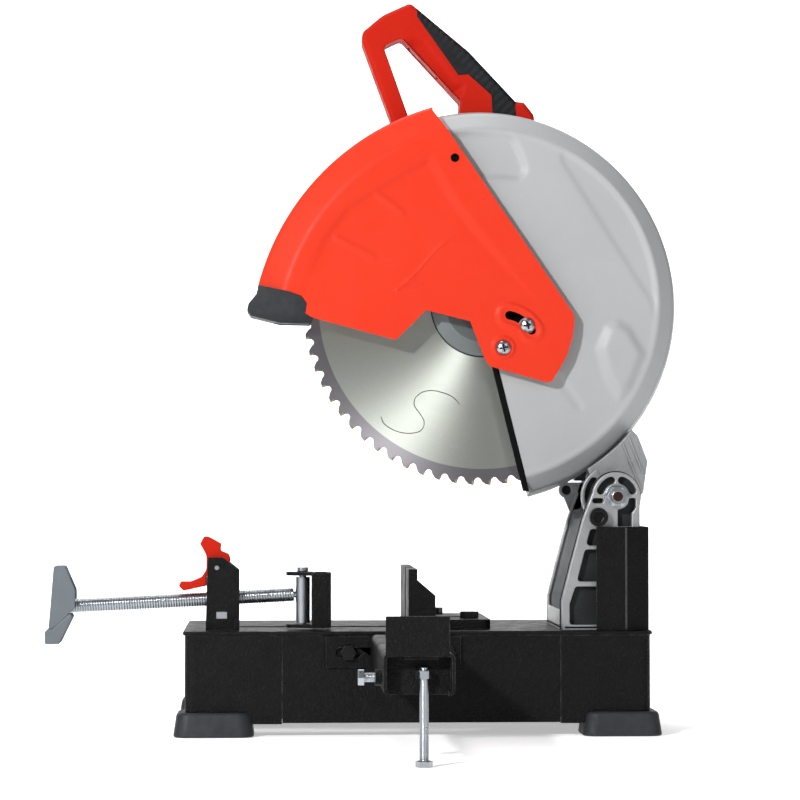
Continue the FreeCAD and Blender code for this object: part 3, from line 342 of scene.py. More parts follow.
def turning(origin, direction):
    """Matrix that carries +Z at the frame's origin to a direction at a point."""
    rotation = Vector(direction).to_track_quat("Z", "Y").to_matrix().to_4x4()
    return Matrix.Translation(Vector(origin)) @ rotation


def lathe(name, profile, origin, direction=(0, 1, 0), *, count, loop=False):
    """Profile of (radius, distance along) turned about an axis."""
    matrix = turning(origin, direction)
    vertices = []
    for radius, along in profile:
        for step in range(count):
            turn = 2 * math.pi * step / count
            vertices.append(matrix @ Vector((radius * math.cos(turn), radius * math.sin(turn), along)))
    faces = []
    rows = len(profile) if loop else len(profile) - 1
    for row in range(rows):
        after = (row + 1) % len(profile)
        for step in range(count):
            side = (step + 1) % count
            corners = [row * count + step, row * count + side,
                       after * count + side, after * count + step]
            if profile[row][0] < 1e-6:
                corners = corners[1:] if profile[after][0] > 1e-6 else []
            elif profile[after][0] < 1e-6:
                corners = corners[:3]
            if corners:
                faces.append(corners)
    return even_shading(new_object(name, vertices, faces))


# Share of a pitch and of the thread's depth, from root to crest.
THREAD_SHAPE = ((0, 0), (0.12, 0), (0.38, 1), (0.74, 1))


def threaded_rod(name, start, end, radius, pitch, depth, count=24):
    """Rod with a real helical thread that runs out at both ends."""
    start = Vector(start)
    length = (Vector(end) - start).length
    matrix = turning(start, Vector(end) - start)
    turns = math.ceil(length / pitch) + 1
    rows = [(turn + share, height) for turn in range(-1, turns) for share, height in THREAD_SHAPE]
    vertices = []
    for place, height in rows:
        for step in range(count):
            along = (place + step / count) * pitch
            run_out = min(1, max(0, along / pitch), max(0, (length - along) / pitch))
            reach = radius - depth + depth * height * run_out
            angle = 2 * math.pi * step / count
            along = min(max(along, 0), length)
            vertices.append(matrix @ Vector((reach * math.cos(angle), reach * math.sin(angle), along)))
    faces = []
    for row in range(len(rows) - 1):
        for step in range(count):
            near, far = row * count + step, (row + 1) * count + step
            if step < count - 1:
                faces.append((near, near + 1, far + 1, far))
            elif row + len(THREAD_SHAPE) + 1 < len(rows):
                wrap = (row + len(THREAD_SHAPE)) * count
                faces.append((near, wrap, wrap + count, far))
    return new_object(name, vertices, faces, 50, capped=True)


def loft(name, rings):
    """Solid through stacked (loop, level) rows whose loops have the same number of points."""
    count = len(rings[0][0])
    vertices = [(point[0], point[1], level) for loop, level in rings for point in loop]
    faces = [tuple(range(count))[::-1]]
    for row in range(len(rings) - 1):
        for index in range(count):
            side = (index + 1) % count
            faces.append((row * count + index, row * count + side,
                          (row + 1) * count + side, (row + 1) * count + index))
    last = (len(rings) - 1) * count
    faces.append(tuple(range(last, last + count)))
    return even_shading(new_object(name, vertices, faces))


def baked(made):
    """Replace the object's mesh with what its modifiers give."""
    bpy.context.view_layer.update()
    graph = bpy.context.evaluated_depsgraph_get()
    mesh = bpy.data.meshes.new_from_object(made.evaluated_get(graph))
    made.modifiers.clear()
    made.data = mesh
    return made


def cut(made, *cutters):
    """Remove the cutters' volume from a solid."""
    made.modifiers.clear()
    for cutter in cutters:
        modifier = made.modifiers.new("cut", "BOOLEAN")
        modifier.operation = "DIFFERENCE"
        modifier.solver = "EXACT"
        modifier.object = cutter
    baked(made)
    for cutter in cutters:
        bpy.data.objects.remove(cutter)
    made.data.set_sharp_from_angle(angle=math.radians(SHARP_DEG))
    return even_shading(made)


def gathered(name, meshes):
    """One mesh from several."""
    whole = bmesh.new()
    for mesh in meshes:
        whole.from_mesh(mesh)
    mesh = bpy.data.meshes.new(name)
    whole.to_mesh(mesh)
    whole.free()
    shaded(mesh)
    return mesh


def joined(name, parts):
    """One object from several."""
    mesh = gathered(name, [baked(part).data for part in parts])
    for part in parts:
        bpy.data.objects.remove(part)
    return even_shading(placed(name, mesh))


def moved_copies(made, places):
    """Join copies of a piece, one for each matrix in millimetres."""
    baked(made)
    parts = []
    for place in places:
        matrix = place.copy()
        matrix.translation *= MM
        part = made.data.copy()
        part.transform(matrix)
        if matrix.is_negative:
            part.flip_normals()
        parts.append(part)
    made.data = gathered(made.name, parts)
    return even_shading(made)


# ---- materials ----
def colour(*shades):
    """Linear colour from display values."""
    return [*(value / 12.92 if value <= 0.04045 else ((value + 0.055) / 1.055) ** 2.4
              for value in shades), 1]


class Finish:
    """A material under construction: its node tree, principled shader and object coordinates."""

    def __init__(self, name, base, roughness, metallic, specular):
        self.material = bpy.data.materials.new(name)
        self.material.use_nodes = True
        self.tree = self.material.node_tree
        self.tree.nodes.clear()
        settings = {"Base Color": colour(*base), "Roughness": roughness, "Metallic": metallic,
                    "Specular IOR Level": specular}
        self.shader = self.node("ShaderNodeBsdfPrincipled", settings)
        self.node("ShaderNodeOutputMaterial", {"Surface": self.shader.outputs["BSDF"]})
        self.place = self.node("ShaderNodeTexCoord").outputs["Object"]
        self.normal = None

    def node(self, kind, inputs=None, **settings):
        """New node, its inputs given as values or as sockets to link."""
        made = self.tree.nodes.new(kind)
        for key, value in settings.items():
            setattr(made, key, value)
        for key, value in (inputs or {}).items():
            if isinstance(value, bpy.types.NodeSocket):
                self.tree.links.new(value, made.inputs[key])
            else:
                made.inputs[key].default_value = value
        return made

    def link(self, source, key):
        self.tree.links.new(source, self.shader.inputs[key])

    def math(self, operation, first, second):
        return self.node("ShaderNodeMath", {0: first, 1: second}, operation=operation).outputs[0]

    def noise(self, scale, detail=2, run=None):
        """Noise from 0 to 1 with so many features per metre; "rings" runs it round the blade."""
        inputs = {"Scale": scale, "Detail": detail}
        if run == "rings":
            inputs["W"] = self.axis_distance()
            made = self.node("ShaderNodeTexNoise", inputs, noise_dimensions="1D")
            return made.outputs["Fac"]
        inputs["Vector"] = self.place
        if run:
            stretched = self.node("ShaderNodeMapping", {"Vector": self.place, "Scale": run})
            inputs["Vector"] = stretched.outputs["Vector"]
        return self.node("ShaderNodeTexNoise", inputs).outputs["Fac"]

    def remap(self, value, low, high, to_low=0, to_high=1):
        inputs = {"Value": value, "From Min": low, "From Max": high,
                  "To Min": to_low, "To Max": to_high}
        return self.node("ShaderNodeMapRange", inputs).outputs["Result"]

    def tint(self, mask, other):
        """Blend the colour so far towards another one where the mask is high."""
        present = self.shader.inputs["Base Color"]
        before = present.links[0].from_socket if present.links else present.default_value
        inputs = {"Factor": mask, "A": before, "B": colour(*other)}
        mix = self.node("ShaderNodeMix", inputs, data_type="RGBA")
        self.link(mix.outputs["Result"], "Base Color")

    def bump(self, height, depth, strength):
        """Surface relief; the depth is in metres."""
        inputs = {"Strength": strength, "Distance": depth, "Height": height}
        if self.normal is not None:
            inputs["Normal"] = self.normal
        self.normal = self.node("ShaderNodeBump", inputs).outputs["Normal"]
        self.link(self.normal, "Normal")

    def edges(self, radius):
        """Mask that is 1 on corners, for worn edges and for painted edge highlights."""
        rounded_off = self.node("ShaderNodeBevel", {"Radius": radius}, samples=4)
        plain = self.node("ShaderNodeNewGeometry")
        normals = {0: rounded_off.outputs["Normal"], 1: plain.outputs["Normal"]}
        dot = self.node("ShaderNodeVectorMath", normals, operation="DOT_PRODUCT")
        corner_share = self.remap(dot.outputs["Value"], 0.97, 0.8)
        return self.math("MULTIPLY", corner_share, self.remap(self.noise(90, 3), 0.35, 0.65))

    def axis_distance(self):
        """Distance in metres from the blade's axis."""
        inputs = {"Vector": self.place, "Location": (-BLADE.x * MM, 0, -BLADE.z * MM),
                  "Scale": (1, 0, 1)}
        flat = self.node("ShaderNodeMapping", inputs).outputs["Vector"]
        length = self.node("ShaderNodeVectorMath", {0: flat}, operation="LENGTH")
        return length.outputs["Value"]


# Material name, colour, roughness, metallic and specular, then the layers in order:
# ("tint", noise, remap, colour), ("wear", corner radius in metres, amount, colour),
# ("rough", noise, remap) and ("bump", noise, depth in metres, strength).
# The corner layer lightens edges, as real wear and as painted highlight.
LOOKS = {
    "textured_black": (
        "textured_black_powder_coat", (0.016, 0.016, 0.019), 0.48, 0, 0.13,
        ("tint", (480, 3), (0.52, 0.72, 0, 0.6), (0.09, 0.09, 0.095)),
        ("tint", (480, 3), (0.3, 0.46, 0.7, 0), (0.008, 0.008, 0.009)),
        ("tint", (9, 3), (0.45, 0.75, 0, 0.3), (0.028, 0.026, 0.026)),
        # Lighter edges on the black coat: painted highlight along its edges.
        ("edge_wear_and_highlight", 0.0012, 0.9, (0.34, 0.33, 0.33)),
        ("rough", (60, 2), (0.3, 0.7, 0.42, 0.6)),
        ("bump", (480, 3), 0.0011, 1)),
    "zinc": (
        "bright_zinc_plate", (0.66, 0.68, 0.7), 0.3, 1, 0.5,
        ("tint", (50, 3), (0.4, 0.7, 0, 0.3), (0.55, 0.575, 0.6)),
        ("rough", (160, 2), (0.3, 0.7, 0.27, 0.33)),
        ("bump", (900, 1), 0.00001, 0.3)),
    "black_steel": (
        "black_oxide_steel", (0.05, 0.05, 0.053), 0.34, 0.6, 0.5,
        ("edge_wear_and_highlight", 0.0008, 1, (0.26, 0.255, 0.25)),
        ("rough", (260, 3), (0.3, 0.7, 0.28, 0.5)),
        ("bump", (900, 2), 0.00008, 0.5)),
    "cast_aluminium": (
        "cast_aluminium", (0.6, 0.605, 0.61), 0.46, 0.7, 0.5,
        ("tint", (22, 4), (0.4, 0.7, 0, 0.55), (0.52, 0.53, 0.54)),
        ("edge_wear_and_highlight", 0.0014, 0.8, (0.86, 0.86, 0.86)),
        ("rough", (120, 3), (0.3, 0.7, 0.38, 0.56)),
        ("bump", (800, 3), 0.0003, 0.55),
        ("bump", (110, 2), 0.0004, 0.35)),
    "silver_paint": (
        "silver_paint", (0.62, 0.625, 0.63), 0.52, 0.1, 0.2,
        ("tint", (3600, 1), (0.52, 0.7, 0, 0.3), (0.68, 0.69, 0.7)),
        ("tint", (7, 3), (0.42, 0.72, 0, 0.25), (0.54, 0.54, 0.535)),
        ("rough", (90, 2), (0.3, 0.7, 0.46, 0.56)),
        ("bump", (260, 2), 0.00012, 0.25)),
    "red_paint": (
        "red_paint", (0.8, 0.205, 0.12), 0.55, 0, 0.1,
        ("tint", (6, 3), (0.42, 0.72, 0, 0.35), (0.77, 0.16, 0.085)),
        ("edge_wear_and_highlight", 0.001, 0.4, (0.85, 0.3, 0.22)),
        ("rough", (70, 2), (0.3, 0.7, 0.36, 0.48)),
        ("bump", (300, 2), 0.00012, 0.22)),
    "red_plastic": (
        "red_moulded_plastic", (0.68, 0.12, 0.062), 0.55, 0, 0.05,
        ("tint", (14, 3), (0.42, 0.72, 0, 0.4), (0.66, 0.095, 0.05)),
        ("rough", (90, 2), (0.3, 0.7, 0.48, 0.6)),
        ("bump", (1500, 2), 0.00012, 0.35)),
    "black_plastic": (
        "black_moulded_plastic", (0.135, 0.14, 0.15), 0.45, 0, 0.5,
        ("tint", (30, 3), (0.4, 0.7, 0, 0.4), (0.19, 0.19, 0.195)),
        ("rough", (120, 2), (0.3, 0.7, 0.38, 0.55)),
        ("bump", (1500, 2), 0.00016, 0.5)),
    "blade_steel": (
        "ground_blade_steel", (0.62, 0.635, 0.61), 0.42, 1, 0.5,
        ("tint", (2600, 4, "rings"), (0.4, 0.7, 0, 0.45), (0.54, 0.55, 0.53)),
        ("tint", (1400, 2), (0.55, 0.75, 0, 0.25), (0.72, 0.73, 0.71)),
        ("rough", (2600, 4, "rings"), (0.3, 0.7, 0.38, 0.48)),
        ("bump", (2600, 4, "rings"), 0.00003, 0.4)),
    "steel": (
        "machined_steel", (0.66, 0.67, 0.68), 0.32, 1, 0.5,
        ("tint", (60, 3), (0.4, 0.7, 0, 0.5), (0.52, 0.52, 0.52)),
        ("rough", (300, 3), (0.3, 0.7, 0.26, 0.42)),
        ("bump", (900, 2, (1, 8, 1)), 0.00005, 0.5)),
    "bronze": (
        "sintered_bronze", (0.66, 0.5, 0.3), 0.42, 1, 0.5,
        ("tint", (600, 3), (0.45, 0.65, 0, 0.7), (0.44, 0.33, 0.2)),
        ("rough", (300, 2), (0.3, 0.7, 0.34, 0.52)),
        ("bump", (1600, 2), 0.0001, 0.6))}


# Variants of the slots' own looks, and looks that are painted shade and a painted highlight.
WING_ZINC = (
    "dull_zinc_plate", (0.38, 0.405, 0.425), 0.5, 0.5, 0.3,
    ("tint", (40, 3), (0.4, 0.7, 0, 0.35), (0.34, 0.36, 0.375)),
    ("bump", (900, 2), 0.00002, 0.4))
# Dark casting colour as painted shade, for sheets set behind windows and holes where the pockets fall into shade.
POCKET_PAINTED_SHADE = (
    "casting_pocket_painted_shade", (0.1, 0.115, 0.115), 0.6, 0, 0.2,
    ("tint", (60, 3), (0.4, 0.7, 0, 0.6), (0.15, 0.165, 0.165)),
    ("bump", (900, 3), 0.0003, 0.6))
TURNED_FLANGE = (
    "turned_flange_steel", (0.43, 0.45, 0.45), 0.42, 0.8, 0.5,
    ("tint", (1500, 2, "rings"), (0.4, 0.7, 0, 0.5), (0.36, 0.38, 0.38)),
    ("bump", (1500, 2, "rings"), 0.00004, 0.5))
# Lighter coat for the bead along the cover's fold: a painted highlight.
FOLD_HIGHLIGHT = (
    "fold_painted_highlight", (0.2, 0.195, 0.195), 0.42, 0, 0.4,
    ("tint", (400, 3), (0.5, 0.7, 0, 0.7), (0.09, 0.09, 0.09)),
    ("bump", (650, 3), 0.0004, 0.6))
COPPER = (
    "copper_washed_end", (0.23, 0.145, 0.115), 0.4, 0.8, 0.5,
    ("tint", (500, 3), (0.4, 0.7, 0, 0.6), (0.12, 0.085, 0.07)),
    ("bump", (1500, 2), 0.0001, 0.5))
SLOT_RESIN = (
    "slot_damping_resin", (0.3, 0.3, 0.29), 0.6, 0, 0.3,
    ("tint", (700, 2), (0.4, 0.7, 0, 0.6), (0.4, 0.4, 0.38)),
    ("bump", (1500, 2), 0.00005, 0.5))
CARBIDE = (
    "brazed_carbide", (0.6, 0.55, 0.48), 0.34, 0.9, 0.5,
    ("tint", (500, 3), (0.45, 0.65, 0, 1), (0.78, 0.7, 0.56)),
    ("bump", (1500, 2), 0.0001, 0.5))


def rubber(name="moulded_rubber", shade=1):
    """Rubber, darker at a lower shade."""
    dark = [part * shade for part in (0.115, 0.127, 0.142)]
    light = [part * shade for part in (0.165, 0.173, 0.18)]
    return (name, dark, 0.62, 0, 0.35 * shade,
            ("tint", (25, 3), (0.4, 0.7, 0, 0.4), light),
            ("rough", (140, 2), (0.3, 0.7, 0.5, 0.72)),
            ("bump", (1900, 2), 0.00015, 0.6))


def finished(name, base, roughness, metallic, specular, *layers):
    """Finish from its base values and its layers."""
    finish = Finish(name, base, roughness, metallic, specular)
    for kind, grain, *settings in layers:
        if kind == "edge_wear_and_highlight":
            amount, other = settings
            finish.tint(finish.math("MULTIPLY", finish.edges(grain), amount), other)
        elif kind == "tint":
            limits, other = settings
            finish.tint(finish.remap(finish.noise(*grain), *limits), other)
        elif kind == "rough":
            finish.link(finish.remap(finish.noise(*grain), *settings[0]), "Roughness")
        else:
            finish.bump(finish.noise(*grain), *settings)
    return finish


BRIGHT_RING_R = 161


def harden_rim(finish):
    """Darker hardened rim, and the gloss of a ground disc."""
    limits = (BRIGHT_RING_R * MM, (BRIGHT_RING_R + 0.5) * MM)
    finish.tint(finish.remap(finish.axis_distance(), *limits), (0.47, 0.46, 0.475))
    finish.shader.inputs["Anisotropic"].default_value = 0.85
    tangent = finish.node("ShaderNodeTangent", direction_type="RADIAL", axis="Y")
    finish.link(tangent.outputs["Tangent"], "Tangent")


SLOT_FINISHES = {slot: finished(*look) for slot, look in (*LOOKS.items(), ("rubber", rubber()))}
harden_rim(SLOT_FINISHES["blade_steel"])
NODE_SLOT = {row["node"]: row["material_slot"] for row in frame["record"]["subparts"]}


def dress(made, slot, look):
    """Give a piece its slot's material, or a variant of it."""
    finish = finished(*look) if look else SLOT_FINISHES[slot]
    made.data.materials.clear()
    made.data.materials.append(finish.material)


def add_piece(made, body, slot, *nodes, look=None):
    """Put a finished piece on its body, in its slot, in place of the named nodes."""
    dress(made, slot, look)
    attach(made, body)
    if nodes:
        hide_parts(*nodes)


# ---- sheet-metal guards ----
def unrolled(profile):
    """Distances along a profile of (radius, level), measured from its first radius."""
    along = [profile[0][0]]
    for (r0, y0), (r1, y1) in zip(profile[:-1], profile[1:]):
        along.append(along[-1] + math.hypot(r1 - r0, y1 - y0))
    return np.array(along)


GUARD_SHEET = 1.8


def dish(name, centre, profile, loops, relief, grid, extra=(), soft=2.5):
    """Pressed sheet that follows a turned profile, with a relief pressed into it.

    The loops are drawn on the unrolled sheet, round the centre.
    """
    flat, faces, _ = triangulate(loops, (), grid, extra)
    along = unrolled(profile)
    reach = np.hypot(flat[:, 0], flat[:, 1])
    angle = np.arctan2(flat[:, 1], flat[:, 0])
    places = [np.clip(reach + shift, along[0], along[-1])
              for shift in (-soft, -soft / 2, 0, soft / 2, soft)]
    radius, level = [np.mean([np.interp(place, along, column) for place in places], axis=0)
                     for column in zip(*profile)]
    x = centre.x + radius * np.cos(angle)
    z = centre.z + radius * np.sin(angle)
    level = level + relief(np.stack([x, z], axis=1), radius)
    made = new_object(name, np.stack([x, level, z], axis=1), faces, 60, closed=False)
    thickness = made.modifiers.new("sheet", "SOLIDIFY")
    thickness.thickness = GUARD_SHEET * MM
    thickness.offset = -1
    baked(made)
    made.data.set_sharp_from_angle(angle=math.radians(60))
    return made


def around_lift(points):
    """Points seen from the lifting guard's pivot."""
    return [Vector(point) - LIFT_HUB for point in points]


LIFT_RIM_R = 247.5
LIFT_BEVEL_R = 221
SLOT_R = 32.3
SLOT_HALF = 4.25
SLOT_START_DEG = 32
SLOT_END_DEG = 80
SLOT_SCREW_DEG = 43.4
GUARD_PATH = [(-153.4, 433.9), (-100, 402), (-19, 380.5), (10.7, 409.8), (53.6, 399.1), (67.2, 364),
              (72.3, 355.2), (129, 339.2), (134, 340.6), (145.5, 360), (148.6, 366.4), (153.8, 382.5),
              (155.6, 395), (155.8, 403.4), (154, 408.2), (17.2, 608), (17.4, 610.8)]
PANEL_LEFT = [(-112, 425), (-105, 445), (-86, 484), (-66, 510), (-31, 532), (14.4, 558.2)]
PANEL_RIGHT = [(14.4, 558.2), (36, 521), (60, 488), (96, 446)]
PANEL_CREASES = [[(-77, 480), (-42, 462)], [(-36, 523), (-14, 506)]]
ARROW_HEAD = [(6.8, 435), (-17, 429.7), (0.3, 441)]
ARROW_SHAFT = [(-17, 429.7), (3.6, 449), (16.7, 464.6), (27, 475), (38.4, 483)]
PANEL_DEPTH = 3.4
CREASE_HEIGHT = 1.4
ARROW_HEIGHT = 0.85
# Height, reach and slope of the step up to a rim and of the step down inside it.
SLOT_RIM = ((2.2, 13.5, 3.4), (-1.8, 9, 2.8))
PIVOT_RIM = ((2, 12.5, 3), (-1.8, 9.2, 2.2))
SIGHT_HOLE = (38.8, 559.1)
GUARD_SCREWS = (LIFT_HUB, polar(LIFT_HUB, SLOT_R, SLOT_SCREW_DEG))


def guard_relief(points, _radius):
    """Panel, creases, direction arrow and raised rims pressed into the lifting guard."""
    left = -path_distance(points, PANEL_LEFT)
    right = -path_distance(points, PANEL_RIGHT)
    panel = smooth((np.minimum(left, right) + 4) / 9) * smooth((points[:, 1] - 405) / 110)
    depth = PANEL_DEPTH * panel
    for crease in PANEL_CREASES:
        depth -= CREASE_HEIGHT * ridge(path_distance(points, crease), 5)
    for line in (ARROW_HEAD, ARROW_SHAFT):
        depth -= ARROW_HEIGHT * ridge(path_distance(points, line), 1.9)
    slot = path_distance(points, arc(LIFT_HUB, SLOT_R, SLOT_START_DEG, SLOT_END_DEG, 12))
    pivot = np.hypot(*(points - np.array(LIFT_HUB)).T)
    for distance, steps in ((np.abs(slot), SLOT_RIM), (pivot, PIVOT_RIM)):
        for height, reach, slope in steps:
            depth -= height * smooth((reach - distance) / slope)
    return depth


def beside(path, offsets, step):
    """Points in rows alongside a path."""
    rows = []
    points = spaced(path, step)
    for start, end in zip(points[:-1], points[1:]):
        normal = Vector((start.y - end.y, end.x - start.x)).normalized()
        rows += [start + normal * offset for offset in offsets]
    return rows


def make_front_guard():
    low = LIFT_LOW.y
    profile = [(0, low), (LIFT_BEVEL_R, low), (LIFT_RIM_R, low + 14), (LIFT_RIM_R + 1, 2)]
    along = unrolled(profile)
    path = around_lift(spaced(GUARD_PATH, 2.5))
    outline = []
    for point in path:
        reach = np.interp(point.length, [radius for radius, _ in profile[:3]], along[:3])
        outline.append(point.normalized() * float(reach))
    last, first = [math.degrees(math.atan2(point.y, point.x)) for point in (path[-1], path[0])]
    rim = arc((0, 0), float(along[-1]), last, first, 160)
    outline += spaced([outline[-1], rim[0]], 2.5)[1:-1] + rim
    outline += spaced([rim[-1], outline[0]], 2.5)[1:-1]
    slot = arc_slot((0, 0), SLOT_R, SLOT_HALF, SLOT_START_DEG, SLOT_END_DEG)
    holes = [slot, circle((0, 0), 4.06), circle(around_lift([SIGHT_HOLE])[0], 3.8)]
    fine = []
    for line in (ARROW_HEAD, ARROW_SHAFT):
        fine += around_lift(beside(line, (-1.6, -0.8, 0, 0.8, 1.6), 1))
    for radius in (5.5, 7, 8, 9, 10.5, 12):
        fine += circle((0, 0), radius, 48)
    middle = arc((0, 0), SLOT_R, SLOT_START_DEG, SLOT_END_DEG, 40)
    rims = (5.8, 7.2, 8.6, 10, 11.5, 13)
    fine += beside(middle, [side * reach for side in (-1, 1) for reach in rims], 1.2)
    guard = dish("front_guard_shell", LIFT, profile, [outline] + holes, guard_relief, 2.6, fine)
    add_piece(guard, "front_guard", "red_paint", "front_guard")


MAIN_BEVEL_R = 172
MAIN_WALL_R = 190
MAIN_START_DEG = -76
MAIN_END_DEG = 130
RECESS = [(-60, 600), (101, 584, 14), (115, 548, 12), (104, 537, 8), (-60, 542)]
CHORD = [(150, 580), (145, 559), (234, 419), (240, 400)]
DOME = [(176, 374, 8), (186, 398, 8), (200, 406, 10), (216, 396, 10), (232, 368, 10), (216, 330, 8),
        (200, 314, 6), (183, 346, 14)]
LOWER_CREASE = [(141, 345), (162, 317)]
RECESS_DEPTH = 3.4
CHORD_STEP = 2
DOME_HEIGHT = 4.5


def pressed(points, corners, reach):
    """Share of a pressed area's depth, full from some reach inside its outline."""
    loop = rounded(corners)
    away = np.abs(path_distance(points, loop, closed=True))
    return np.where(is_inside(points, loop), smooth(away / reach), 0)


def main_relief(points, radius):
    """Recess, chord step, dome and crease pressed into the main guard's face."""
    depth = RECESS_DEPTH * pressed(points, RECESS, 8)
    depth += CHORD_STEP * smooth((path_distance(points, CHORD) + 4) / 8)
    depth -= DOME_HEIGHT * pressed(points, DOME, 13)
    depth += CREASE_HEIGHT * ridge(path_distance(points, LOWER_CREASE), 7)
    return depth * smooth((MAIN_BEVEL_R + 1.5 - radius) / 5)


def cross_bar(centre, turn_deg, reach, half_width, low, high):
    """One bar of a cross recess."""
    turn = Matrix.Rotation(math.radians(turn_deg), 2)
    corners = [(-reach, -half_width), (reach, -half_width), (reach, half_width), (-reach, half_width)]
    return solid("bar", [[centre + turn @ Vector(corner) for corner in corners]], low, high)


# Radius, and distance along the axis.
SCREW_HEAD = ((0, -3.6), (3.2, -3.4), (5.4, -2.6), (6.9, -1.4), (7.4, -0.5), (7.2, 0), (0, 0))
SCREW_SHOULDER = ((0, -0.2), (3.95, -0.2), (3.95, 3), (0, 3))
GROMMET = ((0, 1.4), (2.4, 1.4), (2.9, -0.2), (3.9, -0.3), (4.3, 0), (3.7, 2.4), (0, 2.4))
CROSS_DEG = (12, 102)
CROSS_CORNER_DEG = (57, 147)


def make_guard_screws():
    """Pan-head screws with a pressed cross recess, with a dark cross of painted shade at its bottom."""
    under = LIFT_LOW.y - 0.3
    top = under - 5
    screws = []
    shade_floors = []
    for centre in GUARD_SCREWS:
        place = (centre.x, under, centre.y)
        cutters = [cross_bar(centre, turn, 4.3, 0.85, top, under - 1.9) for turn in CROSS_DEG]
        cutters += [cross_bar(centre, turn, 3.6, 0.3, top, under - 3) for turn in CROSS_CORNER_DEG]
        screws.append(cut(lathe("head", SCREW_HEAD, place, count=48), *cutters))
        screws.append(lathe("shoulder", SCREW_SHOULDER, place, count=32))
        # Dark crosses of painted shade at the bottom of the recesses.
        shade_floors += [cross_bar(centre, turn, 3.9, 0.75, under - 2.3 - turn * 0.0005, under - 1.6)
                   for turn in CROSS_DEG]
    add_piece(joined("guard_screw_pair", screws), "head", "zinc", "guard_screws")
    add_piece(joined("guard_screw_recess_shade", shade_floors), "head", "black_steel")


def make_sight_plug():
    """Black grommet in the lifting guard's sight hole."""
    x, z = SIGHT_HOLE
    plug = lathe("sight_grommet", GROMMET, (x, LIFT_LOW.y, z), count=32)
    add_piece(plug, "front_guard", "rubber", look=rubber("grommet_rubber", 0.12))


SLOT_SHADE_DEG = (20, 95)


def make_slot_shade_sheet():
    """Dark sheet of painted shade on the fixed guard, seen through the curved slot."""
    start, end = SLOT_SHADE_DEG
    outline = arc(LIFT_HUB, 41, end, start, 30) + arc(LIFT_HUB, 24, start, end, 30)
    # Near-black sheet as painted shade where the slot shows the shaded guard behind it.
    shade_sheet = solid("slot_shade_sheet", [outline], -38.2, -35.8, 0.4, 0)
    add_piece(shade_sheet, "head", "rubber", look=rubber("slot_painted_shade", 0.12))


def make_guard_edge_shade():
    """Dark strip of painted shade along the main guard's lower opening."""
    along = polar((0, 0), 1, MAIN_START_DEG)
    across = Vector((along.y, -along.x))
    corners = ((40, 0.3), (189, 0.3), (187, 6), (40, 6))
    loop = [HUB + along * reach + across * side for reach, side in corners]
    # Near-black strip as painted shade in the gap between the guard's edge and the blade.
    strip = solid("guard_edge_shade", [loop], -33.5, -29.5, 0.6)
    add_piece(strip, "head", "rubber", look=rubber("edge_painted_shade", 0.2))


MAIN_FACE_Y = -36


def make_main_guard():
    low = MAIN_FACE_Y
    back = GUARD_HIGH.y
    start, end = MAIN_START_DEG, MAIN_END_DEG
    inner = 22
    profile = [(inner, low), (MAIN_BEVEL_R - 2, low + 0.8), (MAIN_BEVEL_R + 1, low - 0.6),
               (MAIN_WALL_R, low + 13), (195, back)]
    outer = float(unrolled(profile)[-1])
    outline = arc((0, 0), inner, end, start, 60)
    outline += spaced([polar((0, 0), inner, start), polar((0, 0), outer, start)], 3)[1:-1]
    outline += arc((0, 0), outer, start, end, 260)
    outline += spaced([polar((0, 0), outer, end), polar((0, 0), inner, end)], 3)[1:-1]
    shell = dish("main_guard_shell", BLADE, profile, [outline], main_relief, 3, soft=1.8)
    add_piece(shell, "head", "silver_paint", "main_guard")
    back_loop = arc(HUB, 24, end, start, 60) + arc(HUB, 193.6, start, end, 160)
    plate = solid("main_guard_back", [back_loop], back - 2, back, 0.4)
    add_piece(plate, "head", "silver_paint")
    near = LIFT_LOW.y + 2.3
    length = low + 1 - near
    post = [(2.6, 0), (7.4, 0), (8, 0.6), (8, length), (2.6, length)]
    posts = [lathe("post", post, (screw.x, near, screw.y), count=40, loop=True)
             for screw in GUARD_SCREWS]
    add_piece(joined("guard_posts", posts), "head", "silver_paint")


# ---- blade ----
BLADE_TEETH = 66
TOOTH_PITCH = 360 / BLADE_TEETH
# Radius, and share of the pitch.
TOOTH = ((177.5, 0), (176.6, 0.3), (173.6, 0.5), (170.6, 0.62), (169.8, 0.74), (170.4, 0.86),
         (172, 0.94))
TIP = [(172.9, 0.25), (177.5, 0.02), (177.1, -1.75), (173.2, -1.45)]
SLOT_LINE = [(44.8, 318.7), (40.8, 323.6), (35.6, 327.3), (26.4, 330.6), (17.2, 332.1), (8, 330.3),
             (2, 325.3), (0.1, 320), (1.6, 315.2), (6.6, 308.2), (9.9, 302.3), (9.5, 296.3),
             (5.3, 291.7), (-3.9, 289.8), (-14.4, 291.1), (-23.6, 295), (-30.2, 300.3), (-32.2, 306.2)]
SLOT_TURNS = (0, 90, 180, 270)
CURVE_STEPS = 5
# Thin dark ring of painted shade where the flange's rim meets the blade.
FLANGE_GAP_SHADE = ((49.2, -0.7), (51, -0.7), (51, 0), (49.2, 0))


def curve_through(points):
    """Smooth path through the given points."""
    path = []
    ends = [points[0]] + points + [points[-1]]
    for before, here, after, beyond in zip(ends, ends[1:], ends[2:], ends[3:]):
        p0, p1, p2, p3 = map(Vector, (before, here, after, beyond))
        for step in range(CURVE_STEPS):
            t = step / CURVE_STEPS
            square = 2 * p0 - 5 * p1 + 4 * p2 - p3
            cube = 3 * p1 - p0 - 3 * p2 + p3
            path.append(0.5 * (2 * p1 + (p2 - p0) * t + square * t * t + cube * t ** 3))
    return path + [Vector(points[-1])]


def expansion_slot(turn_deg, half_width):
    """Narrow S-shaped laser slot, as a closed outline."""
    turn = Matrix.Rotation(math.radians(turn_deg), 2)
    line = [HUB + turn @ (point - HUB) for point in curve_through(SLOT_LINE)]
    left = []
    right = []
    for index, here in enumerate(line):
        run = line[min(index + 1, len(line) - 1)] - line[max(index - 1, 0)]
        normal = Vector((-run.y, run.x)).normalized() * half_width
        left.append(here + normal)
        right.append(here - normal)
    return left + right[::-1]


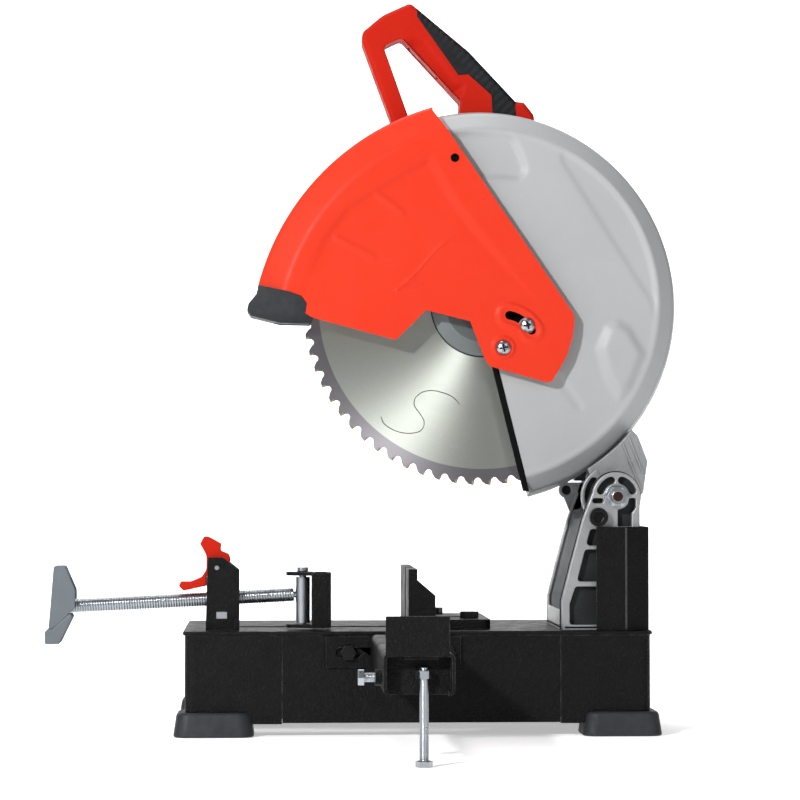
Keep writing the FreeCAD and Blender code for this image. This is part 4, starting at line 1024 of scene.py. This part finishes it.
def make_blade():
    near, far = BLADE_LOW.y, BLADE_HIGH.y
    outline = [polar(HUB, radius, -(tooth + share) * TOOTH_PITCH)
               for tooth in range(BLADE_TEETH) for radius, share in TOOTH]
    slots = [expansion_slot(turn, 0.34) for turn in SLOT_TURNS]
    disc = solid("blade_disc", [outline, circle(HUB, 12.7)] + slots, near, far, 0.12, steps=1)
    add_piece(disc, "blade", "blade_steel", "blade")
    fillers = [solid("filler", [expansion_slot(turn, 0.33)], near + 0.08, far - 0.08)
               for turn in SLOT_TURNS]
    add_piece(joined("slot_fillers", fillers), "blade", "rubber", look=SLOT_RESIN)
    # Dark ring of painted shade in the gap round the flange's rim.
    gap_shade = lathe("flange_gap_shade", FLANGE_GAP_SHADE, (BLADE.x, near, BLADE.z), count=128, loop=True)
    add_piece(gap_shade, "blade", "rubber")
    tip = solid("carbide_tips", [TIP], near - 0.25, far + 0.25, 0.1, steps=1)
    centre = Matrix.Translation((BLADE.x, 0, BLADE.z))
    places = [centre @ Matrix.Rotation(math.radians(TOOTH_PITCH * tooth), 4, "Y")
              for tooth in range(BLADE_TEETH)]
    add_piece(moved_copies(tip, places), "blade", "steel", look=CARBIDE)


# ---- handle ----
HANDLE_OUTLINE = [(-22, 605), (-50, 681, 4), (-50, 691, 6), (-30, 708, 30), (-2, 720.8, 6),
                  (56.5, 672.4, 60), (103, 622.5), (112, 621.5), (121.5, 609.5), (128, 575, 10),
                  (120, 503, 12), (18, 503, 12), (-12, 560, 20)]
HANDLE_WINDOW = [(-5.5, 610.7), (-29, 677, 5), (-11, 685.5, 5), (48, 622, 5), (46, 600, 8), (0, 596, 8)]
GRIP = [(3.2, 716.6), (4.9, 706.5, 4), (46, 648.3, 3), (55.8, 649.2, 3), (79, 628.6, 3), (80.5, 603.5),
        (104.2, 603.5), (104.2, 621.4), (57, 671.6, 60)]
SCOOP_EDGE = [(-18, 684.5), (3, 689), (14, 684.5), (45.5, 641.5), (54.5, 641.5), (53, 631), (43.5, 616)]
SCOOP_LOOP = SCOOP_EDGE + [(34, 616), (-22, 676)]
HANDLE_CHAMFER = 3.2
HANDLE_ROUND = 0.5
HANDLE_RINGS = (1.2, 2.2, 3.2, 4.2)
TRIGGER_EDGE = ((-11, 685.5), (48, 622))


def handle_drop(points):
    """Chamfer along the handle's outer edges and a softer one round its window."""
    outer = loop_distance(points, [rounded(HANDLE_OUTLINE)])
    inner = loop_distance(points, [rounded(HANDLE_WINDOW)])
    return np.clip(HANDLE_CHAMFER - outer, 0, None) * 0.85 + np.clip(1.2 - inner, 0, None) * 0.6


def handle_relief(points):
    """Rounded edges, and the scooped side of the bar beside the window."""
    scoop = smooth(np.abs(path_distance(points, SCOOP_EDGE)) / 12) * is_inside(points, SCOOP_LOOP)
    return 0.8 + handle_drop(points) + 7 * scoop


def grip_relief(points):
    """Rounded edges with shallow finger grooves across the bar."""
    along = (points[:, 0] - points[:, 1]) / math.sqrt(2)
    groove = 0.5 + 0.5 * np.cos(2 * math.pi * along / 7)
    edge = path_distance(points, [(20, 690), (60, 640), (92, 600)])
    return handle_drop(points) + 0.7 * smooth(groove) * smooth((edge + 2) / 8)


def trigger_pocket():
    """Outline of the trigger's pocket, from inside the window into the bar."""
    top, bottom = map(Vector, TRIGGER_EDGE)
    run = bottom - top
    inward = Vector((-run.y, run.x)).normalized()
    start, end = top + run * 0.12, top + run * 0.62
    return [start - inward * 5, end - inward * 5, end + inward * 15, start + inward * 15]


def rings_inside(loops, distances):
    """Extra points along loops moved into the solid."""
    points = []
    for index, loop in enumerate(loops):
        turned = wound(loop, index == 0)
        path = spaced(turned + turned[:1], 3)[:-1]
        for distance in distances:
            points += inset(path, distance)
    return points


def make_handle():
    front, back = HANDLE_LOW.y, mm_box("handle_rear_half")[1].y
    middle = (front + back) / 2
    loops = [rounded(HANDLE_OUTLINE), rounded(HANDLE_WINDOW)]
    fine = {"grid": 2.6, "extra": rings_inside(loops, HANDLE_RINGS)}
    near = solid("handle_front_shell", loops, front, middle - 0.2, HANDLE_ROUND,
                 relief=handle_relief, **fine)
    cut(near, solid("pocket", [trigger_pocket()], middle - 7.5, middle + 9))
    add_piece(near, "head", "red_plastic", "handle_front_half")
    far = solid("handle_rear_shell", loops, middle + 0.2, back, HANDLE_ROUND,
                far_relief=handle_relief, **fine)
    cut(far, solid("pocket", [trigger_pocket()], middle - 9, middle + 7.5))
    add_piece(far, "head", "red_plastic", "handle_rear_half")
    loops = [rounded(GRIP)]
    grip = solid("grip_sleeve_soft", loops, front, back, 0.6, None, grip_relief, grip_relief,
                 1.8, rings_inside(loops, HANDLE_RINGS))
    add_piece(grip, "head", "rubber", "grip_sleeve", look=rubber("soft_grip_rubber", 0.6))


# ---- guard nose ----
NOSE = [(-152.8, 434), (-123.8, 427.7), (-111.5, 423.4, 5), (-98.8, 409.2, 3), (-99.5, 402.3, 3),
        (-102, 396.2, 2), (-131.9, 396.9), (-160.5, 403.9, 3), (-164.2, 409.2, 2), (-162.8, 415.7, 3),
        (-155.3, 424.8)]
NOSE_GAP_HALF = 7


def nose_relief(points):
    """Chamfer under the nose's crease and a facet towards its right end."""
    under = -path_distance(points, [(-166, 412), (-126, 406), (-96, 409.5)])
    right = path_distance(points, [(-118, 440), (-122, 390)])
    return 4.5 * smooth(under / 11) ** 1.2 + 3 * smooth(right / 24)


def make_nose():
    low, high = mm_box("guard_nose")
    nose = solid("guard_nose_rubber", [rounded(NOSE)], low.y, high.y, 1.2,
                 relief=nose_relief, far_relief=nose_relief, grid=2.2)
    gap_y = (BLADE_MIDDLE_Y - NOSE_GAP_HALF, BLADE_MIDDLE_Y + NOSE_GAP_HALF)
    cut(nose, solid("gap", [rectangle(-137, -80, 380, 450, 1)], *gap_y))
    add_piece(nose, "front_guard", "rubber", "guard_nose")


# ---- base ----
BLADE_SLOT_HALF = 11


def make_base():
    outer = rectangle(TOP_LOW.x, TOP_HIGH.x, TOP_LOW.y, TOP_HIGH.y, 9)
    slot_y = (BLADE_MIDDLE_Y - BLADE_SLOT_HALF, BLADE_MIDDLE_Y + BLADE_SLOT_HALF)
    slot = rectangle(-190, 48, *slot_y, 5)
    plate = solid("base_top_sheet", [outer, slot], TOP_LOW.z, TOP_HIGH.z, 1.5, 1.7, plane="XY")
    add_piece(plate, "base", "textured_black", "base_top_plate")


FOOT_LENGTH = 66
FOOT_DEPTH = 52
FOOT_GAP = 0.2
FOOT_SOLE = 12
FOOT_HOLES = ((172, 97, 4.25), (203, 97, 6.5))


def make_feet():
    high = mm_box("rubber_feet")[1]
    half_x, half_y = mm_box("base_right_end")[1].xy
    levels = ((0, 0, 1.6), (0.5, 0, 0.5), (1.8, 0, 0), (high.z - 3, 2.6, 0),
              (high.z - 1, 3, 0.6), (high.z, 3.2, 2))
    rings = []
    for level, taper, shrink in levels:
        inward = taper + shrink
        x_span = (half_x - FOOT_LENGTH + inward, high.x - inward)
        y_span = (half_y - FOOT_DEPTH + inward, high.y - inward)
        rings.append((rectangle(*x_span, *y_span, 13 - shrink / 2), level))
    foot = loft("rubber_foot_set", rings)
    inner_x, inner_y = half_x + FOOT_GAP, half_y + FOOT_GAP
    inside = rectangle(-inner_x, inner_x, -inner_y, inner_y, 9)
    cut(foot, solid("pocket", [inside], FOOT_SOLE, 60, plane="XY"),
        *(solid("hole", [circle((x, y), radius)], -5, FOOT_SOLE + 0.5, plane="XY")
          for x, y, radius in FOOT_HOLES))
    places = [Matrix.Diagonal((side_x, side_y, 1, 1)) for side_x in (-1, 1) for side_y in (-1, 1)]
    add_piece(moved_copies(foot, places), "base", "rubber", "rubber_feet")


# ---- pedestal ----
CHEEK_LEFT = [(138, 100.5), (138, 128), (148, 167), (158.5, 206), (167.6, 231)]
CHEEK_LEFT_X = 138
CHEEK_RIGHT_X = 213.5
BOSS_R = 23.5
LUG = (157.5, 233.7)
LUG_ROOT = [(160.5, 212), (172, 214), (180, 241.7)]
WINDOWS = [
    [(146, 105, 3), (206, 105, 3), (206, 141.5, 3), (151.5, 141.5, 3), (146, 125, 3)],
    [(153, 146.5, 3), (206, 146.5, 3), (206, 177, 3), (161, 177, 3)],
    [(162, 181, 3), (206, 181, 3), (206, 196.5, 3), (166, 196.5, 3)],
    [(167.5, 221.5, 2.4), (178.5, 221.5, 2.4), (178.5, 226.3, 2.4), (168.5, 226.3, 2.4)],
    [(192.4, 199.2), (205.8, 199.2), (205.8, 212, 2), (209.6, 217, 4), (209.6, 226.4, 2),
     (203.6, 226.4), (202, 220.5), (198.4, 217), (192.4, 215)]]


def cheek_loops():
    """Cheek outline with its boss, and the windows between its ribs."""
    outline = [Vector(point) for point in CHEEK_LEFT]
    outline += arc(PIVOT_HUB, BOSS_R, 172, -12, 36)
    outline += [Vector((CHEEK_RIGHT_X, 219)), Vector((CHEEK_RIGHT_X, 100.5))]
    curved = [arc_slot(PIVOT_HUB, 16.2, 3.5, low, high) for low, high in ((20, 72), (108, 160))]
    return [outline] + [rounded(window) for window in WINDOWS] + curved


def make_pedestal():
    low, high = PEDESTAL_LOW.y, PEDESTAL_HIGH.y
    loops = cheek_loops()
    bolt = [circle(PIVOT_HUB, 6.05)]
    edge = [Vector(point) for point in CHEEK_LEFT]
    lip = edge + [point + Vector((2.6, 0)) for point in edge[::-1]]
    sill = rounded([(138, 100.5, 1), (144, 100.5, 1), (143, 117, 1), (138, 119, 1)])
    lug = arc(LUG, 8, 95, 250, 16) + LUG_ROOT
    parts = [
        solid("ribs", loops + bolt, low, low + 8, 1.2, 0.3),
        solid("web", loops[:1] + bolt, high - 11, high - 7, 0.5),
        solid("lip", [lip], high - 13.5, high - 10, 0.9, 0),
        solid("ribs", loops + bolt, high - 7.5, high, 0.4, 1.2),
        solid("flange", [rectangle(CHEEK_LEFT_X, CHEEK_RIGHT_X, low, high, 3)], 100, 104.5,
              0.4, 1.2, plane="XY"),
        solid("sill", [sill], low + 9, high - 9),
        solid("rear", [rectangle(207.5, CHEEK_RIGHT_X, 101, 186, 1.5)], low + 9, high - 9),
        solid("lug", [lug, circle(LUG, 4.5, 24)], high - 11, high - 4, 1)]
    add_piece(joined("pedestal_casting", parts), "base", "cast_aluminium", "pedestal")
    # Dark sheets of painted shade behind the cheek's windows and in the lug's hole.
    shade_floors = [solid("web", [inset(loops[0], 1)] + bolt, low + 7.5, low + 11),
              solid("floor", [circle(LUG, 4.6, 24)], high - 6, high - 4.2)]
    add_piece(joined("pedestal_pocket_shade", shade_floors), "base", "cast_aluminium", look=POCKET_PAINTED_SHADE)


COVER = [(170.6, -106), (199.4, -106, 2.5), (222, -99.5, 3), (222, 56), (220, 56), (220, -97.9, 1),
         (199.1, -104, 1), (170.6, -104)]


def make_cover():
    """Folded cover sheet, with a lighter bead along the fold as a painted highlight."""
    low, high = mm_box("pedestal_cover")
    sheet = solid("cover_sheet", [rounded(COVER)], low.z, high.z, 0.5, plane="XY")
    tab = rectangle(172, 194, -105, -97.6)
    tab = solid("cover_tab", [tab], low.z, low.z + 2, 0.2, plane="XY")
    add_piece(joined("pedestal_cover_sheet", [sheet, tab]), "base", "textured_black", "pedestal_cover")
    tall = high.z - low.z
    section = [(0, 0), (1.1, 0.5), (1.1, tall - 1.5), (0, tall - 1)]
    # Bead along the fold, coloured lighter as a painted highlight.
    bead = lathe("fold_bead", section, (199.2, -105.6, low.z + 0.5), (0, 0, 1), count=16)
    add_piece(bead, "base", "textured_black", look=FOLD_HIGHLIGHT)


def hex_loop(centre, across):
    return rounded([(*polar(centre, across / math.sqrt(3), 60 * step), 0.5) for step in range(6)])


NUT_CONE = ((8.6, -9.2), (10.6, -8), (14, -8), (14, -9.2))
BOLT_END = ((0, -11.9), (4.3, -11.9), (4.8, -11.4), (4.8, -11), (0, -11))


def make_pivot_nut():
    """Washer, chamfered hex nut and the bolt's end at the front of the pivot."""
    front = PEDESTAL_LOW.y
    place = (PIVOT.x, front, PIVOT.z)
    hole = circle(PIVOT_HUB, 6.3)
    washer = solid("washer", [circle(PIVOT_HUB, 11.5, 48), hole], front - 2, front, 0.5, 0.1)
    nut = solid("nut", [hex_loop(PIVOT_HUB, 18), hole], front - 9, front - 2, 0.2)
    cut(nut, lathe("cone", NUT_CONE, place, count=48, loop=True))
    add_piece(joined("pivot_nut_and_washer", [washer, nut]), "base", "zinc", "pivot_nut")
    add_piece(lathe("pivot_bolt_end", BOLT_END, place, count=40), "base", "zinc", look=COPPER)


def make_hub_flange():
    """Ribbed flange of the arm's hub, seen beside the front cheek, with a dark web of painted shade behind its
    window.
    """
    outline = arc(PIVOT_HUB, 30, 118, 262, 48) + arc(PIVOT_HUB, 14.5, 262, 118, 30)
    window = arc_slot(PIVOT_HUB, 22.8, 3.6, 140, 226)
    flange = solid("hub_flange", [outline, window], -59, -52, 1)
    add_piece(flange, "head", "cast_aluminium")
    outline = arc(PIVOT_HUB, 29, 120, 260, 48) + arc(PIVOT_HUB, 15, 260, 120, 30)
    # Dark web of painted shade behind the flange's window.
    web = solid("hub_flange_shade_web", [outline], -52.5, -50)
    add_piece(web, "head", "cast_aluminium", look=POCKET_PAINTED_SHADE)


ARM_FRONT_Y = -40
ARM_CORNERS = [(218.5, 288), (222, 268), (178, 240)]
ARM_RIBS = (((203.6, 281.6), (221.4, 236)), ((209.2, 288.3), (224, 251)))


def make_arm_fairing():
    """Front skin of the arm casting, carried up to the guard's rim."""
    outline = arc(HUB, 191, -57.5, -40, 24) + ARM_CORNERS
    skin = solid("arm_fairing", [outline], ARM_FRONT_Y - 0.5, -30, 0.8, 0)
    add_piece(skin, "head", "cast_aluminium")


def make_arm_ribs():
    """Two raised ribs along the arm casting's front face."""
    ribs = []
    for start, end in ARM_RIBS:
        start, end = Vector(start), Vector(end)
        run = (end - start).normalized()
        side = Vector((-run.y, run.x)) * 0.9
        loop = [start + side, start - side, end - side, end + side]
        ribs.append(solid("rib", [loop], ARM_FRONT_Y - 2.4, ARM_FRONT_Y + 0.5, 0.5, 0))
    add_piece(joined("arm_ribs", ribs), "head", "cast_aluminium")


# ---- vise and work support ----
VISE_TILT = math.radians(2.87)
VISE_ROD_R = 6.8
VISE_END_X = -118.5


def make_vise():
    low, high = mm_box("vise_screw")
    run = Vector((math.cos(VISE_TILT), 0, math.sin(VISE_TILT)))
    start = Vector((low.x + 0.35, (low.y + high.y) / 2, low.z + VISE_ROD_R * math.cos(VISE_TILT)))
    end = start + run * (VISE_END_X - start.x) / math.cos(VISE_TILT)
    rod = threaded_rod("vise_screw_thread", start, end, VISE_ROD_R, 2.5, 0.85)
    stub = lathe("stub", [(0, 0), (3, 0), (3, 4.2), (0, 4.2)], end - run * 0.2, run, count=24)
    add_piece(joined("vise_screw_rod", [rod, stub]), "vise_screw", "zinc", "vise_screw")


WING = [(-348.1, 161.8, 2), (-337.4, 161.8, 3), (-327.4, 139, 4), (-327.4, 122, 3), (-346, 103, 1),
        (-352.8, 101, 1)]
WING_LIP = [(-356.4, 99.5, 1), (-349, 101.5, 1), (-331.5, 117.5, 2), (-329.8, 113, 1), (-342.4, 87, 2),
            (-356.4, 87, 2)]
WING_WEB = [(-348.1, 160.8), (-345.4, 160.8), (-350, 101), (-353.6, 97), (-353.6, 88), (-356.2, 88),
            (-356.2, 99), (-352.8, 102.5)]


def make_wing_handle():
    """Stamped wing handle: two flanges with a folded lip below, joined by a web."""
    low, high = mm_box("vise_handle")
    near, far = low.y, high.y
    parts = [solid("wing", [rounded(WING)], near + 1, near + 3.5, 0.7),
             solid("wing", [rounded(WING)], far - 3.5, far - 1, 0.7),
             solid("lip", [rounded(WING_LIP)], near, near + 4, 1.1),
             solid("lip", [rounded(WING_LIP)], far - 4, far, 1.1),
             solid("web", [WING_WEB], near + 1.2, far - 1.2)]
    add_piece(joined("wing_handle", parts), "vise_screw", "zinc", "vise_handle", look=WING_ZINC)


HEAD_HEIGHT = 5


def make_adjuster(node, plane, direction):
    """Threaded bolt with a hex head at its low end, along one of the frame's axes."""
    low, high = mm_box(node)
    along = Vector(direction)
    middle = (low + high) / 2
    start = middle + along * (low - middle).dot(along)
    end = middle + along * (high - middle).dot(along)
    shank = threaded_rod("shank", start + along * HEAD_HEIGHT, end, 4, 1.25, 0.3, 20)
    centre = middle.xy if plane == "XY" else middle.yz
    level = start.dot(along)
    head = solid("head", [hex_loop(centre, 13)], level, level + HEAD_HEIGHT + 0.3, 0.7, 0.3,
                 plane=plane)
    add_piece(joined(node + "_threaded", [shank, head]), node, "zinc", node)


LEVER = [(-205, 189.6, 1.5), (-200.7, 189.6, 1.5), (-188.2, 182.8, 1.2), (-189.2, 176, 3),
         (-181, 172.9, 2), (-179.2, 167, 2), (-180.2, 164, 1), (-184.5, 153, 3), (-192.5, 151.8),
         (-202.4, 151.8), (-202.4, 142.5), (-224.2, 137.5, 2), (-228.9, 142, 2), (-227.3, 146.4, 1.5),
         (-217.4, 146.4, 6), (-207.5, 150.6, 5), (-202.6, 158, 5), (-202.6, 171.7, 8),
         (-208.7, 182.8, 1.5)]


def make_lever():
    low, high = mm_box("release_lever")
    pin = circle(joint_place("quick_release").xz, 2.1, 20)
    lever = solid("release_lever_moulded", [rounded(LEVER), pin], low.y, high.y, 1.4)
    add_piece(lever, "release_lever", "red_plastic", "release_lever")


# ---- nodes that keep their own shape ----
EDGE_WIDTHS = {
    "arm_casting": 1.2, "gearbox_housing": 1.5, "motor_end_cap": 0.8, "fence": 0.7,
    "support_arm": 0.8, "support_flange": 0.4, "vise_bracket": 0.5, "vise_jaw": 0.7,
    "swivel_sleeve": 0.6, "jaw_pin": 0.6, "trigger": 1.5, "lock_button": 1, "blade_flanges": 0.4,
    "m10_bolts": 0.4, "m8_bolts": 0.3, "pivot_bolt": 0.4, "cross_screw": 0.5, "motor_housing": 1,
    "base_left_end": 0.5, "base_right_end": 0.5, "base_front_panel": 0.3, "base_rear_panel": 0.3,
    "screw_cradle": 0.4, "half_nut": 0.4, "leg_nut": 0.3, "arbor_bolt": 0.4, "brush_caps": 0.6,
    "cable_gland": 0.6}
NODE_LOOKS = {"blade_flanges": TURNED_FLANGE}


def finish_nodes():
    """Give every node its material, and real rounded edges to those that show."""
    for node, made in frame["nodes"].items():
        slot = NODE_SLOT[node]
        dress(made, slot, NODE_LOOKS.get(node))
        if made.hide_render:
            continue
        width = EDGE_WIDTHS.get(node)
        if width:
            made.modifiers.new("weld", "WELD").merge_threshold = 1e-5
            facets = made.modifiers.new("facets", "DECIMATE")
            facets.decimate_type = "DISSOLVE"
            facets.angle_limit = math.radians(1)
            edge = made.modifiers.new("edge", "BEVEL")
            edge.width = width * MM
            edge.segments = 2
            edge.limit_method = "ANGLE"
            edge.angle_limit = math.radians(40)
            even_shading(made)


# ---- studio, in metres ----
def area_light(name, place, target, size, power):
    data = bpy.data.lights.new(name, "AREA")
    data.shape = "RECTANGLE"
    data.size, data.size_y = size
    data.energy = power
    lamp = placed(name, data)
    lamp.location = place
    lamp.rotation_euler = (Vector(target) - Vector(place)).to_track_quat("-Z", "Y").to_euler()


SWEEP_START = 2
SWEEP_R = 2
FLOOR_HALF_WIDTH = 6
SURROUNDINGS_LIGHT = 0.1
SURROUNDINGS_SEEN = 1
LIT_POINT = (0, 0, 0.36)


def make_floor():
    """Pale floor that curves up into a backdrop, and glows where the lights don't reach."""
    rows = [(-4, 0), (SWEEP_START, 0)]
    rows += [(SWEEP_START + SWEEP_R * math.sin(turn), SWEEP_R - SWEEP_R * math.cos(turn))
             for turn in np.linspace(0.1, math.pi / 2, 16)]
    rows.append((SWEEP_START + SWEEP_R, 6))
    vertices = [(side * FLOOR_HALF_WIDTH, y, z - 0.0002) for y, z in rows for side in (-1, 1)]
    faces = [(2 * row, 2 * row + 1, 2 * row + 3, 2 * row + 2) for row in range(len(rows) - 1)]
    mesh = bpy.data.meshes.new("floor")
    mesh.from_pydata(vertices, [], faces)
    mesh.shade_smooth()
    finish = finished("floor_paper", (0.97, 0.97, 0.97), 0.9, 0, 0.1,
                      ("tint", (2, 2), (0.3, 0.7, 0, 0.3), (0.955, 0.955, 0.955)))
    finish.shader.inputs["Emission Color"].default_value = (1, 1, 1, 1)
    depth = finish.node("ShaderNodeSeparateXYZ", {"Vector": finish.place}).outputs["Y"]
    behind = finish.remap(depth, -0.9, -0.6, 0, 0.45)
    in_front = finish.remap(depth, -3.3, -2, 0.9, 0)
    finish.link(finish.math("ADD", behind, in_front), "Emission Strength")
    mesh.materials.append(finish.material)
    placed("floor", mesh)


def make_studio():
    """Soft lights, and surroundings that look white but light the saw only a little."""
    world = bpy.data.worlds.new("surroundings")
    world.use_nodes = True
    nodes, links = world.node_tree.nodes, world.node_tree.links
    nodes["Background"].inputs["Color"].default_value = (1, 1, 1, 1)
    seen = nodes.new("ShaderNodeLightPath")
    strength = nodes.new("ShaderNodeMapRange")
    strength.inputs["To Min"].default_value = SURROUNDINGS_LIGHT
    strength.inputs["To Max"].default_value = SURROUNDINGS_SEEN
    links.new(seen.outputs["Is Camera Ray"], strength.inputs["Value"])
    links.new(strength.outputs["Result"], nodes["Background"].inputs["Strength"])
    bpy.context.scene.world = world
    area_light("key", (-1.45, -2.25, 1.3), LIT_POINT, (0.16, 0.16), 78)
    area_light("streak", (0.66, -1.8, 1.53), LIT_POINT, (0.8, 0.35), 3)
    area_light("ray", (1.21, -1.8, 0.95), LIT_POINT, (0.3, 0.5), 6)
    area_light("top", (-0.3, 0.3, 2.4), LIT_POINT, (1.4, 0.6), 34)
    area_light("backdrop", (0, 1.2, 2.2), (0, 3.6, 1), (3, 1.5), 110)


# ---- camera ----
CAMERA_PLACE = (-144.3, -2831.9, 242.6)
CAMERA_RIGHT_DEG = 2.66
CAMERA_UP_DEG = 1.63
CAMERA_LENS = 128.56


def make_camera():
    data = bpy.data.cameras.new("camera")
    data.sensor_width = 36
    data.lens = CAMERA_LENS
    camera = placed("camera", data)
    camera.location = Vector(CAMERA_PLACE) * MM
    camera.rotation_euler = (math.radians(90 + CAMERA_UP_DEG), 0, math.radians(-CAMERA_RIGHT_DEG))
    bpy.context.scene.camera = camera
    bpy.context.scene.view_settings.view_transform = "Standard"


make_floor()
make_studio()
make_camera()
make_front_guard()
make_main_guard()
make_blade()
make_handle()
make_nose()
make_base()
make_feet()
make_pedestal()
make_arm_ribs()
make_pivot_nut()
make_hub_flange()
make_arm_fairing()
make_cover()
make_guard_screws()
make_sight_plug()
make_slot_shade_sheet()
make_guard_edge_shade()
make_vise()
make_wing_handle()
make_adjuster("leg_bolt", "XY", (0, 0, 1))
make_adjuster("clamp_screw", "YZ", (1, 0, 0))
make_lever()
finish_nodes()
